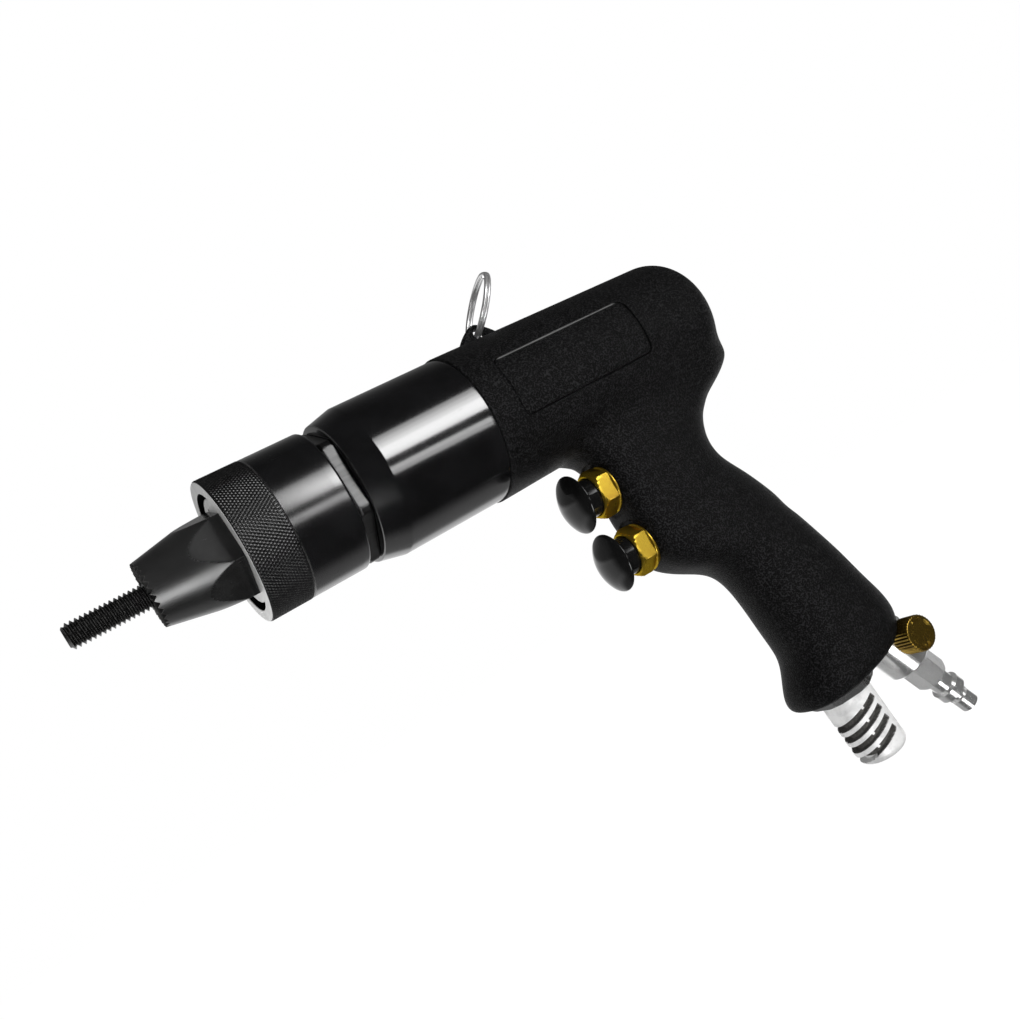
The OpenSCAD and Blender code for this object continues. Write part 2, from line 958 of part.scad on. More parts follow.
valve_bush(reverse_z);  // reverse_valve_bush
valve_washer(reverse_z);  // reverse_valve_washer
exhaust_bushing();
silencer();
silencer_felt();
inlet_stud();
regulator_body();
regulator_knob();
air_plug();
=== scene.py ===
"""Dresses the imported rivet-nut riveter: moulded grip, turned black steel, brass and plated fittings.

The frame's nodes keep their places. New pieces are numpy surfaces in millimetres in the
same frame: +X along the barrel from nose to back, +Z up, the origin on the barrel axis in
the serrated face of the nosepiece. Radii and angles are about the barrel axis, unless a
piece leans on an axis of its own.
"""

import logging
import math
from collections.abc import Callable
from dataclasses import dataclass, field
from enum import Enum
from typing import Any

import bmesh
import bpy
import numpy as np
from mathutils import Matrix, Vector

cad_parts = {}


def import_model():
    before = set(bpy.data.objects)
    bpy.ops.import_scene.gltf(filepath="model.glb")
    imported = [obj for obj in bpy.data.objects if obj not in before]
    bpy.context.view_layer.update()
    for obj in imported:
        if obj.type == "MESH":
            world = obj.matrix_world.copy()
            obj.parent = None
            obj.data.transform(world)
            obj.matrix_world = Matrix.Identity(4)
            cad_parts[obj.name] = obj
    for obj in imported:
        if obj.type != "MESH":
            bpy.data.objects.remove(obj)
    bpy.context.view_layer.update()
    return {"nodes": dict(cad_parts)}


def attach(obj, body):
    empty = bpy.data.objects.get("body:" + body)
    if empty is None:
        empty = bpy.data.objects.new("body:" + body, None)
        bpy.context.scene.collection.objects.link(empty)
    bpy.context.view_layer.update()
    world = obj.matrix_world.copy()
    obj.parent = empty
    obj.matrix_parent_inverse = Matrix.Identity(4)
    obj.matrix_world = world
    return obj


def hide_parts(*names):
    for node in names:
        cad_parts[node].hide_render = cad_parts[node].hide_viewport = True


LOG = logging.getLogger("riveter")
MM = 0.001
FULL = 2 * math.pi
Array = np.ndarray
Link = Any
Piece = bpy.types.Object
Socket = bpy.types.NodeSocket
Colour = tuple[float, float, float]
Point = tuple[float, float, float]


# Shader graph


class Value:
    """One number of a material's node graph; arithmetic on it adds Math nodes."""

    def __init__(self, graph: "Graph", socket: Socket) -> None:
        """Keeps the graph and the output socket that carries the number."""
        self.graph = graph
        self.socket = socket

    def math(self, operation: str, *others: "Value | float") -> "Value":
        """Adds a Math node with this value first.

        Args:
            operation: the Math node's operation.
            others: its second and third operands.

        Returns:
            The node's result.
        """
        return self.graph.math(operation, self, *others)

    def __add__(self, other: "Value | float") -> "Value":
        """Sum."""
        return self.math("ADD", other)

    def __radd__(self, other: float) -> "Value":
        """Reflected sum."""
        return self.graph.math("ADD", other, self)

    def __sub__(self, other: "Value | float") -> "Value":
        """Difference."""
        return self.math("SUBTRACT", other)

    def __rsub__(self, other: float) -> "Value":
        """Reflected difference, so that 1 - mask works."""
        return self.graph.math("SUBTRACT", other, self)

    def __mul__(self, other: "Value | float") -> "Value":
        """Product."""
        return self.math("MULTIPLY", other)

    def __pow__(self, other: "Value | float") -> "Value":
        """Power."""
        return self.math("POWER", other)

    def ramp(self, low: float, high: float, out_low: float = 0.0, out_high: float = 1.0) -> "Value":
        """Carries low..high smoothly to out_low..out_high.

        Args:
            low: value that gives out_low.
            high: value that gives out_high.
            out_low: result at and below low.
            out_high: result at and above high.

        Returns:
            The mapped value.
        """
        node = self.graph.node(
            "ShaderNodeMapRange",
            {"interpolation_type": "SMOOTHSTEP"},
            {"Value": self, "From Min": low, "From Max": high, "To Min": out_low, "To Max": out_high},
        )
        return Value(self.graph, node.outputs["Result"])

class Graph:
    """Node graph of one material or world."""

    def __init__(self, tree: bpy.types.NodeTree) -> None:
        """Empties the tree and keeps it."""
        tree.nodes.clear()
        self.tree = tree

    def node(
        self, kind: str, settings: dict[str, Any] | None = None, inputs: dict[Any, Link] | None = None
    ) -> bpy.types.Node:
        """Adds a node of any kind.

        Args:
            kind: the node's type name.
            settings: properties set first.
            inputs: values or links of its sockets, by name or index.

        Returns:
            The new node.
        """
        node = self.tree.nodes.new(kind)
        for name, value in (settings or {}).items():
            setattr(node, name, value)
        for name, value in (inputs or {}).items():
            socket = node.inputs[name]
            if isinstance(value, Value):
                self.tree.links.new(value.socket, socket)
            elif isinstance(value, Socket):
                self.tree.links.new(value, socket)
            elif isinstance(value, tuple) and socket.type == "RGBA":
                socket.default_value = (*value, 1.0)
            else:
                socket.default_value = value
        return node

    def math(self, operation: str, *operands: "Value | float") -> Value:
        """Adds a Math node and returns its result."""
        node = self.node("ShaderNodeMath", {"operation": operation}, dict(enumerate(operands)))
        return Value(self, node.outputs[0])

    def place(self, turn: Point = (0, 0, 0), scale: Point = (1, 1, 1)) -> Socket:
        """Object coordinates in metres, stretched along the object's axes and then turned.

        Args:
            turn: Turn about each axis in radians.
            scale: Stretch along each axis.

        Returns:
            Socket of the coordinates.
        """
        start = self.node("ShaderNodeTexCoord").outputs["Object"]
        inputs = {"Vector": start, "Rotation": turn, "Scale": scale}
        return self.node("ShaderNodeMapping", {"vector_type": "POINT"}, inputs).outputs["Vector"]

    def noise(self, at: Socket, scale: float, detail: float, rough: float, warp: float = 0.0) -> Value:
        """Fractal noise of about 0..1 at a number of features per metre."""
        inputs = {"Vector": at, "Scale": scale, "Detail": detail, "Roughness": rough, "Distortion": warp}
        return Value(self, self.node("ShaderNodeTexNoise", {}, inputs).outputs["Fac"])

    def cells(self, at: Socket, scale: float, feature: str = "SMOOTH_F1", smooth: float = 0.5) -> Value:
        """Distance to the nearest of scattered points, for pebbled grain and pits.

        Args:
            at: Coordinates to read.
            scale: Cells to the metre.
            feature: Kind of distance, smoothed as a rule.
            smooth: How far smoothed cells run together.

        Returns:
            The distance.
        """
        inputs = {"Vector": at, "Scale": scale}
        if feature == "SMOOTH_F1":
            inputs["Smoothness"] = smooth
        node = self.node("ShaderNodeTexVoronoi", {"feature": feature}, inputs)
        return Value(self, node.outputs["Distance"])

    def split(self, vector: Socket) -> tuple[Value, Value, Value]:
        """The three parts of a vector."""
        node = self.node("ShaderNodeSeparateXYZ", {}, {0: vector})
        return tuple(Value(self, out) for out in node.outputs)

    def mix(self, factor: "Value | float", first: Link, second: Link) -> Socket:
        """Colour between two colours by a factor."""
        inputs = {"Factor": factor, 6: first, 7: second}
        return self.node("ShaderNodeMix", {"data_type": "RGBA"}, inputs).outputs[2]

    def bump(self, height: Value, depth: float, strength: float = 1.0, under: Link | None = None) -> Socket:
        """Normal of a surface whose height rises by depth metres over 0..1.

        Args:
            height: Height, 0..1.
            depth: Rise in metres.
            strength: Share that shows.
            under: Normal that it is laid over, if any.

        Returns:
            Socket of the normal.
        """
        inputs: dict[Any, Link] = {"Height": height, "Distance": depth, "Strength": strength}
        if under is not None:
            inputs["Normal"] = under
        return self.node("ShaderNodeBump", {}, inputs).outputs["Normal"]

    def worn_edges(self, radius: float) -> Value:
        """Mask that is 1 along outward and inward edges and 0 on plain faces.

        Args:
            radius: Reach of an edge in metres.

        Returns:
            The mask, 0..1.
        """
        bevel = self.node("ShaderNodeBevel", {"samples": 6}, {"Radius": radius})
        plain = self.node("ShaderNodeNewGeometry").outputs["Normal"]
        both = {0: bevel.outputs[0], 1: plain}
        dot = self.node("ShaderNodeVectorMath", {"operation": "DOT_PRODUCT"}, both)
        return (1.0 - Value(self, dot.outputs["Value"])).ramp(0.012, 0.16)

    def surface(self, **sockets: Link) -> None:
        """Ends the graph in a Principled surface.

        Args:
            sockets: the shader's inputs, with underscores for spaces.
        """
        inputs = {name.replace("_", " "): value for name, value in sockets.items()}
        shader = self.node("ShaderNodeBsdfPrincipled", {}, inputs)
        self.node("ShaderNodeOutputMaterial", {}, {"Surface": shader.outputs[0]})


# Finishes


def grey(level: float) -> Colour:
    """Neutral colour of one level."""
    return (level, level, level)


@dataclass(frozen=True)
class Finish:
    """A named finish; each kind draws its own graph, made once and shared."""

    name: str

    def draw(self, graph: Graph) -> None:
        """Draws the finish's nodes."""
        raise NotImplementedError

    def material(self) -> bpy.types.Material:
        """The finish's material, made at its first use.

        Returns:
            The material of the finish's name.
        """
        found = bpy.data.materials.get(self.name)
        if found is None:
            found = bpy.data.materials.new(self.name)
            found.use_nodes = True
            self.draw(Graph(found.node_tree))
        return found

    def dress(self, piece: Piece) -> None:
        """Puts the finish on every face of a piece.

        Args:
            piece: Piece that gets the finish.
        """
        if not piece.material_slots:
            piece.data.materials.append(self.material())
        for slot in piece.material_slots:
            slot.material = self.material()


@dataclass(frozen=True)
class MouldedGrain(Finish):
    """Spark-eroded black moulding: pebbled grain over slow waves, its pebble peaks paler as grain tone and
    painted sparkle, and paler where hands rub it.

    A fine groove runs round a rounded rectangle on both sides of the barrel, coloured dark as painted
    shade, with a painted highlight along its upper edge. The panel is (middle x, middle z, half length,
    half height).
    """

    colour: Colour = (0.0006, 0.0006, 0.00065)
    # Pale colour of the pebble peaks, partly grain tone and partly painted sparkle, and of rubbed edges.
    sparkle_and_wear: Colour = (0.036, 0.036, 0.0375)
    # Colour of the painted highlight along the groove's upper edge.
    lip: Colour = grey(0.16)
    pebble: float = 1950.0
    depth: float = 0.00034
    panel: tuple[float, float, float, float] = (0.15095, 0.0008, 0.02795, 0.0106)
    corner: float = 0.0025
    groove: float = 0.00045

    def draw(self, graph: Graph) -> None:
        """Draws pebbles from cell distances broken up by noise, their peaks paler as grain tone and painted
        sparkle, and the panel's groove.

        The groove is where the distance to the rounded rectangle is next to nothing. Its colour is darkened
        there as painted shade, with a painted highlight along its upper edge.

        Args:
            graph: Graph of the finish's material.
        """
        at = graph.place()
        x, y, z = graph.split(at)
        x0, z0, half_x, half_z = self.panel
        dx = (x - x0).math("ABSOLUTE") - (half_x - self.corner)
        dz = (z - z0).math("ABSOLUTE") - (half_z - self.corner)
        outer = (dx.math("MAXIMUM", 0.0) ** 2 + dz.math("MAXIMUM", 0.0) ** 2).math("SQRT")
        far = outer + dx.math("MAXIMUM", dz).math("MINIMUM", 0.0) - self.corner
        flank = y.math("ABSOLUTE").ramp(0.012, 0.014)
        line = (far.math("ABSOLUTE")).ramp(0.0, self.groove, 1.0, 0.0) * flank
        pebbles = graph.cells(at, self.pebble)
        fine = graph.noise(at, 3400.0, 2.0, 0.6)
        broad = graph.noise(at, 45.0, 3.0, 0.55)
        grain = pebbles * 0.7 + fine * 0.6 - line * 2.2
        shade = graph.mix(broad.ramp(0.35, 0.7), self.colour, tuple(1.4 * c for c in self.colour))
        # Pale pebble peaks: partly grain tone, partly a painted sparkle in place of glints.
        pale = (pebbles + fine * 0.6).ramp(0.73, 1.04)
        worn = graph.worn_edges(0.0012) * broad.ramp(0.4, 0.65)
        # Mixes in the painted sparkle of the pebble peaks and the pale rubbed edges.
        base = graph.mix(pale * 0.40 + worn * 0.2, shade, self.sparkle_and_wear)
        # Painted shade: the groove is coloured near black, where shade falls in it.
        base = graph.mix(line * 0.9, base, grey(0.001))
        # Painted highlight: a pale line along the groove's upper edge.
        upper = z.ramp(z0 + half_z - 0.0009, z0 + half_z - 0.0003) * dx.ramp(-0.001, 0.001, 1.0, 0.0)
        base = graph.mix(line * upper, base, self.lip)
        rough = 0.36 + fine * 0.16 + broad * 0.08
        normal = graph.bump(grain, self.depth, 1.0)
        graph.surface(Base_Color=base, Roughness=rough, IOR=1.42, Specular_IOR_Level=0.11, Normal=normal)


@dataclass(frozen=True)
class Blackened(Finish):
    """Black steel, gloss or satin, with lathe lines round an axis and bare metal at the edges."""

    colour: Colour = (0.0022, 0.0022, 0.0024)
    roughness: float = 0.12
    ior: float = 1.9
    line_pitch: float = 0.00022
    line_depth: float = 0.000004
    wear: float = 0.6
    blotch: float = 0.06
    axis: Point = (1.0, 0.02, 0.02)

    def draw(self, graph: Graph) -> None:
        """Draws lathe lines as noise stretched round the axis, and rubs the edges.

        Args:
            graph: Graph of the finish's material.
        """
        at = graph.place()
        lathe = graph.noise(graph.place(scale=self.axis), 1.0 / self.line_pitch, 2.0, 0.7)
        broad = graph.noise(at, 70.0, 4.0, 0.6)
        stroke = graph.place(turn=(0.3, 0.2, 0.9), scale=(0.12, 1.0, 1.0))
        scuffs = graph.noise(stroke, 1500.0, 2.0, 0.5).ramp(0.66, 0.8)
        rub = graph.worn_edges(0.00035) * graph.noise(at, 900.0, 3.0, 0.7).ramp(0.35, 0.6) * self.wear
        base = graph.mix(broad.ramp(0.3, 0.7), self.colour, tuple(2.2 * c for c in self.colour))
        base = graph.mix(rub, base, (0.23, 0.225, 0.22))
        rough = (self.roughness - 0.02) + broad * self.blotch + scuffs * 0.10 + lathe * 0.04
        normal = graph.bump(lathe, self.line_depth, 0.8)
        graph.surface(Base_Color=base, Roughness=rough, Metallic=rub * 0.8, IOR=self.ior, Normal=normal)


@dataclass(frozen=True)
class BareMetal(Finish):
    """Bright metal: brushed or cast, with finer and coarser lines, stains and rubbed edges."""

    colour: Colour = (0.62, 0.62, 0.61)
    dark: Colour = grey(0.34)
    roughness: float = 0.26
    lines: Point = (1.0, 0.03, 0.03)
    line_pitch: float = 0.00012
    line_depth: float = 0.000006
    line_mix: float = 0.12
    pit_depth: float = 0.00001
    edge_r: float = 0.0003
    stain: float = 0.35
    polish: Colour = (0.80, 0.79, 0.77)
    metal: float = 1.0
    rim: Colour = grey(1.0)

    def draw(self, graph: Graph) -> None:
        """Draws brushed lines, stains and pale rubbed edges.

        Args:
            graph: Graph of the finish's material.
        """
        at = graph.place()
        drawn = graph.noise(graph.place(scale=self.lines), 1.0 / self.line_pitch, 3.0, 0.7)
        stain = graph.noise(at, 160.0, 4.0, 0.62, 0.3)
        pits = graph.cells(at, 2200.0, "F1").ramp(0.0, 0.22, 1.0, 0.0)
        edge = graph.worn_edges(self.edge_r)
        dull = stain.ramp(0.42, 0.72) * self.stain + drawn * self.line_mix
        base = graph.mix(dull, self.colour, self.dark)
        base = graph.mix(edge * 0.6, base, self.polish)
        rough = (self.roughness - 0.05) + drawn * 0.12 + stain * 0.08 - edge * 0.06
        normal = graph.bump(drawn, self.line_depth, 0.9, graph.bump(pits, self.pit_depth, 0.4))
        looks = {"Base_Color": base, "Roughness": rough, "Metallic": self.metal, "Specular_Tint": self.rim}
        graph.surface(**looks, Normal=normal)


@dataclass(frozen=True)
class Pressed(Finish):
    """Dull filled material: rubber, felt or fibre, from coarse noise."""

    colour: Colour = grey(0.03)
    pale: Colour = (0.07, 0.07, 0.068)
    scale: float = 900.0
    depth: float = 0.00008
    roughness: float = 0.8

    def draw(self, graph: Graph) -> None:
        """Draws a mottled, slightly fuzzy surface.

        Args:
            graph: Graph of the finish's material.
        """
        at = graph.place()
        mottle = graph.noise(at, self.scale, 4.0, 0.7)
        broad = graph.noise(at, self.scale / 8.0, 3.0, 0.5)
        base = graph.mix(mottle.ramp(0.35, 0.7) * 0.7 + broad * 0.2, self.colour, self.pale)
        normal = graph.bump(mottle, self.depth, 0.8)
        graph.surface(Base_Color=base, Roughness=self.roughness + mottle * 0.12, Normal=normal)


ALL_WAYS = (1.0, 1.0, 1.0)


class Finishes(Enum):
    """The finishes of this tool, by the pieces that they cover."""

    MOULDING = MouldedGrain("moulded_black_grain")
    CASE = Blackened("gloss_black_case", roughness=0.10, line_depth=0.000006, wear=0.8)
    BUTTON = Blackened(
        "gloss_black_button", grey(0.003), roughness=0.10, ior=1.37, line_depth=0.0, wear=0.0, blotch=0.03
    )
    SLEEVE = Blackened("satin_black_sleeve", roughness=0.16, ior=1.85, wear=0.5)
    OXIDE = Blackened(
        "black_oxide", grey(0.006), roughness=0.26, ior=1.85, line_pitch=0.0003, line_depth=0.000009,
        wear=0.5, blotch=0.12,
    )
    FLATS = Blackened(
        "milled_black_flats", grey(0.008), roughness=0.22, ior=1.42, line_pitch=0.0004, line_depth=0.000006,
        wear=0.7,
    )
    KNURL = Blackened("knurled_black", (0.0024, 0.0024, 0.0025), 0.20, ior=1.5, line_depth=0.0, wear=0.35)
    # Painted shade: near black that hardly reflects, for the step inside the sleeve's bore.
    PAINTED_SHADE = Blackened("painted_shade_black", grey(0.0012), 0.5, ior=1.05, line_depth=0.0, wear=0.0)
    THREAD = Blackened("black_thread", grey(0.003), 0.22, ior=1.5, wear=0.45)
    BUSHING = Blackened("black_bushing", grey(0.005), 0.24, ior=1.6, line_depth=0.0, wear=0.4)
    NUT_STEEL = BareMetal(
        "machined_nut_steel", grey(0.10), grey(0.04), 0.3, lines=(0.03, 1.0, 1.0), line_pitch=0.0009,
        line_depth=0.00012, line_mix=0.7, stain=0.2, polish=grey(0.4),
    )
    BRIGHT = BareMetal("bare_turned_steel", (0.74, 0.74, 0.73), grey(0.52), 0.34, metal=0.45)
    PLATED = BareMetal(
        "plated_fittings", (0.88, 0.88, 0.875), grey(0.60), 0.16, lines=ALL_WAYS, line_pitch=0.0005,
        line_depth=0.000010, pit_depth=0.000003, stain=0.3, metal=0.86,
    )
    KNOB = BareMetal(
        "milled_knob_brass", (0.36, 0.235, 0.040), (0.22, 0.13, 0.025), 0.2, pit_depth=0.000003, stain=0.4,
        polish=(0.62, 0.50, 0.09), metal=0.95,
    )
    SILENCER = BareMetal(
        "cast_silencer", (0.90, 0.90, 0.895), grey(0.50), 0.40, lines=ALL_WAYS, line_pitch=0.0006,
        stain=0.6, metal=0.2,
    )
    WIRE = BareMetal(
        "chrome_wire", grey(0.80), grey(0.45), 0.28, lines=ALL_WAYS, line_pitch=0.0012,
        line_depth=0.000001, pit_depth=0.0, edge_r=0.00001, stain=0.1, metal=0.85,
    )
    BRASS = BareMetal(
        "turned_brass", (0.42, 0.285, 0.030), (0.26, 0.13, 0.020), 0.24, line_depth=0.000002,
        pit_depth=0.000001, stain=0.5, polish=(0.60, 0.48, 0.08), metal=0.88, rim=(0.6, 0.5, 0.1),
    )
    GEAR = BareMetal("ground_gear_steel", (0.40, 0.39, 0.38), (0.22, 0.21, 0.20), 0.34)
    BEARING = BareMetal("polished_bearing_steel", (0.60, 0.60, 0.61), grey(0.42), 0.2)
    CAST = BareMetal(
        "cast_iron_plate", (0.36, 0.36, 0.35), grey(0.20), 0.48, lines=ALL_WAYS, line_pitch=0.0009,
        line_depth=0.00004,
    )
    FIBRE = Pressed("laminated_fibre", (0.16, 0.09, 0.04), (0.26, 0.17, 0.09), 1400.0, 0.00004, 0.6)
    RUBBER = Pressed("moulded_rubber", grey(0.018), grey(0.04))
    FELT = Pressed("pressed_felt", (0.05, 0.048, 0.045), (0.13, 0.127, 0.12), 1200.0, 0.0003, 0.85)


# Surfaces


def step(low: float | Array, high: float | Array, value: Array) -> Array:
    """Smooth rise: 3t^2 - 2t^3, with t the share of the way from low to high, held to 0..1."""
    t = np.clip((value - low) / (high - low), 0.0, 1.0)
    return t * t * (3.0 - 2.0 * t)


def zigzag(phase: Array) -> Array:
    """Triangle wave of period 1: 1 at whole numbers and 0 halfway between."""
    return np.abs(2.0 * (phase - np.floor(phase)) - 1.0)


def grown_together(first: Array, second: Array, width: Array | float) -> Array:
    """Distance to two bodies joined by a fillet.

    The smaller distance, less a parabola that is a quarter of width where both are equal.

    Args:
        first: distance to the first body.
        second: distance to the second body.
        width: reach of the fillet.

    Returns:
        The joined distance.
    """
    share = np.clip(0.5 + 0.5 * (second - first) / width, 0.0, 1.0)
    return second * (1.0 - share) + first * share - width * share * (1.0 - share)


def spline(values: Array, count: int) -> Array:
    """Natural cubic spline through rows of values, at count even steps of the row number.

    The second slopes m solve m[i-1] + 4 m[i] + m[i+1] = 6 (v[i-1] - 2 v[i] + v[i+1]), and
    each span is the usual cubic of its end values and second slopes.

    Args:
        values: rows to pass through, one column per quantity.
        count: number of rows wanted.

    Returns:
        The finer rows.
    """
    n = len(values)
    system = np.eye(n) * 4.0 + np.eye(n, k=1) + np.eye(n, k=-1)
    system[0], system[-1] = 0.0, 0.0
    system[0, 0] = system[-1, -1] = 1.0
    right = np.zeros_like(values)
    right[1:-1] = 6.0 * (values[:-2] - 2.0 * values[1:-1] + values[2:])
    slopes = np.linalg.solve(system, right)
    at = np.linspace(0.0, n - 1.0, count)
    i = np.minimum(at.astype(int), n - 2)
    t = (at - i)[:, None]
    s = 1.0 - t
    return s * values[i] + t * values[i + 1] + ((s**3 - s) * slopes[i] + (t**3 - t) * slopes[i + 1]) / 6.0


def rounded(corners: list[tuple[float, float, float]], steps: int = 5) -> Array:
    """Closed outline with its corners rounded.

    Each corner is replaced by a curve p = (1-t)^2 a + 2 t (1-t) c + t^2 b, with a and b on
    the two sides at the corner's radius.

    Args:
        corners: (x, y, radius) in order round a closed outline.
        steps: points on each rounded corner.

    Returns:
        The outline's points, one row each.
    """
    points = np.array(corners, float)
    c, r = points[:, :2], points[:, 2:]
    before, after = np.roll(c, 1, 0) - c, np.roll(c, -1, 0) - c
    a = c + before * np.minimum(r / np.linalg.norm(before, axis=1, keepdims=True), 0.49)
    b = c + after * np.minimum(r / np.linalg.norm(after, axis=1, keepdims=True), 0.49)
    t = np.linspace(0.0, 1.0, steps)[None, :, None]
    curve = (1 - t) ** 2 * a[:, None] + 2 * t * (1 - t) * c[:, None] + t**2 * b[:, None]
    return curve.reshape(-1, 2)


def even_turn(count: int) -> Array:
    """Even angles round a full turn, the last a step short of the first."""
    return np.arange(count) * 2 * np.pi / count


def spun(x: Array | float, radius: Array, angle: Array) -> Array:
    """Points (x, r cos a, r sin a) about the barrel axis, one row per place and column per angle."""
    return np.stack([x + 0.0 * angle, radius * np.cos(angle), radius * np.sin(angle)], -1)


def turned(profile: Array, columns: int) -> Array:
    """Profile of (x, radius) rows spun about the barrel axis at even angles."""
    return spun(profile[:, :1], profile[:, 1:2], even_turn(columns))


def rows_at(angle: Array, *places: tuple[float, float]) -> list[Array]:
    """Plain round rows: (x, radius) held at every angle, one row for each place given."""
    return [np.stack([x + 0 * angle, radius + 0 * angle]) for x, radius in places]


def hexagon(angle: Array, flats: float, turn: float = 0.0) -> Array:
    """Reach of a hexagon: half its width over the flats by the cosine of the angle to a flat's middle.

    Args:
        angle: angles about its axis, in radians.
        flats: width over the flats.
        turn: angle of a corner, in degrees.

    Returns:
        The reach at each angle.
    """
    side = (angle - math.radians(turn) - math.pi / 6) % (math.pi / 3) - math.pi / 6
    return flats / 2 / np.cos(side)


def past_corner(u: Array, v: Array) -> Array:
    """Distance to a quarter plane, hypot(u, v) outside its corner and the larger of u and v inside."""
    return np.hypot(np.maximum(u, 0), np.maximum(v, 0)) + np.minimum(np.maximum(u, v), 0)


def halved(low: Array, high: Array, inside: Callable[[Array], Array], rounds: int = 16) -> Array:
    """Finds where inside stops being true between low and high, by halving.

    Args:
        low: places that are inside.
        high: places taken to be outside.
        inside: tells which of the places asked for are inside.
        rounds: number of halvings.

    Returns:
        The place of the change; where there is none, a place next to high.
    """
    for _ in range(rounds):
        middle = (low + high) / 2
        within = inside(middle)
        low, high = np.where(within, middle, low), np.where(within, high, middle)
    return (low + high) / 2


def rotated(points: Array, axis: int, degrees: float) -> Array:
    """Turns points about coordinate axis 0, 1 or 2: u' = u cos a - v sin a, v' = u sin a + v cos a.

    Args:
        points: Points, with x, y and z on the last axis.
        axis: Number of the axis.
        degrees: Angle of the turn.

    Returns:
        The turned points.
    """
    c, s = math.cos(math.radians(degrees)), math.sin(math.radians(degrees))
    u, v = (axis + 1) % 3, (axis + 2) % 3
    out = points.copy()
    out[..., u] = c * points[..., u] - s * points[..., v]
    out[..., v] = s * points[..., u] + c * points[..., v]
    return out


def lean(points: Array, origin: Point, degrees: float) -> Array:
    """Turns local points about Y by degrees, then carries them to the origin given."""
    return rotated(points, 1, degrees) + np.array(origin)


@dataclass
class Skin:
    """Patches of one piece: points in millimetres, four- and three-sided faces."""

    points: list[Array] = field(default_factory=list)
    quads: list[Array] = field(default_factory=list)
    tris: list[Array] = field(default_factory=list)
    size: int = 0

    def grid(
        self,
        points: Array,
        around: bool = True,
        along: bool = False,
        ends: tuple[bool, bool] = (False, False),
        flip: bool = False,
    ) -> "Skin":
        """Adds a grid of points whose neighbours make faces.

        Args:
            points: rows by columns by 3.
            around: joins the last column to the first.
            along: joins the last row to the first.
            ends: whether the first and the last row are closed with a fan to their middle.
            flip: turns the faces over.

        Returns:
            This skin.
        """
        rows, columns = points.shape[:2]
        index = np.arange(rows * columns).reshape(rows, columns)
        down = np.vstack([index, index[:1]]) if along else index
        grid = np.hstack([down, down[:, :1]]) if around else down
        quads = np.stack([grid[:-1, :-1], grid[:-1, 1:], grid[1:, 1:], grid[1:, :-1]], -1).reshape(-1, 4)
        flat = points.reshape(-1, 3)
        tris = np.zeros((0, 3), int)
        for wanted, row in zip(ends, (0, -1)):
            if wanted:
                ring = np.append(index[row], index[row][0])
                fan = np.stack([ring[1:], ring[:-1], np.full(columns, len(flat))], -1)
                tris = np.vstack([tris, fan if row == 0 else fan[:, ::-1]])
                flat = np.vstack([flat, points[row].mean(0)])
        if flip:
            quads, tris = quads[:, ::-1], tris[:, ::-1]
        self.points.append(flat)
        self.quads.append(quads + self.size)
        self.tris.append(tris + self.size)
        self.size += len(flat)
        return self

    def build(self, name: str, finish: Finishes, sharp: float, merge: bool = True) -> Piece:
        """Makes the mesh object, with smooth shading between sharp edges, and dresses it.

        Args:
            name: the piece's name.
            finish: the finish of its first slot.
            sharp: angle in degrees above which an edge stays sharp.
            merge: joins points that coincide and turns the faces outward.

        Returns:
            The object.
        """
        points = np.vstack(self.points) * MM
        quads, tris = np.vstack(self.quads), np.vstack(self.tris)
        mesh = bpy.data.meshes.new(name)
        mesh.vertices.add(len(points))
        mesh.vertices.foreach_set("co", points.astype(np.float32).ravel())
        loops = np.concatenate([quads.ravel(), tris.ravel()]).astype(np.int32)
        mesh.loops.add(len(loops))
        mesh.loops.foreach_set("vertex_index", loops)
        starts = np.concatenate([np.arange(len(quads)) * 4, len(quads) * 4 + np.arange(len(tris)) * 3])
        mesh.polygons.add(len(starts))
        mesh.polygons.foreach_set("loop_start", starts.astype(np.int32))
        mesh.update(calc_edges=True)
        mesh.validate()
        if merge:
            clean(mesh)
        mesh.shade_smooth()
        if merge:
            clean(mesh)
        mesh.shade_smooth()
        mesh.set_sharp_from_angle(angle=math.radians(sharp))
        piece = bpy.data.objects.new(name, mesh)
        bpy.context.scene.collection.objects.link(piece)
        finish.value.dress(piece)
        LOG.info("%s: %d faces", name, len(mesh.polygons))
        return piece


def clean(mesh: bpy.types.Mesh) -> None:
    """Merges doubled points, drops faces without area and turns the rest outward.

    Args:
        mesh: Mesh, changed in place.
    """
    work = bmesh.new()
    work.from_mesh(mesh)
    bmesh.ops.remove_doubles(work, verts=work.verts, dist=1e-6)
    bmesh.ops.dissolve_degenerate(work, edges=work.edges, dist=1e-7)
    bmesh.ops.recalc_face_normals(work, faces=work.faces)
    work.to_mesh(mesh)
    work.free()


def face_centres(piece: Piece) -> Array:
    """Middles of a piece's faces in millimetres, one row each.

    Args:
        piece: Piece whose faces are measured.

    Returns:
        One row of x, y and z for each face.
    """
    centre = np.empty(len(piece.data.polygons) * 3, np.float32)
    piece.data.polygons.foreach_get("center", centre)
    return centre.reshape(-1, 3) / MM


def repaint(piece: Piece, which: Array, *finishes: Finishes) -> None:
    """Adds finishes after a piece's first, and gives each face the one whose number which holds.

    Args:
        piece: Piece that is painted.
        which: Finish number of each face, 0 for the first.
        finishes: Finishes 1, 2 and so on.
    """
    for finish in finishes:
        piece.data.materials.append(finish.value.material())
    piece.data.polygons.foreach_set("material_index", which.astype(np.int32))


# Front end


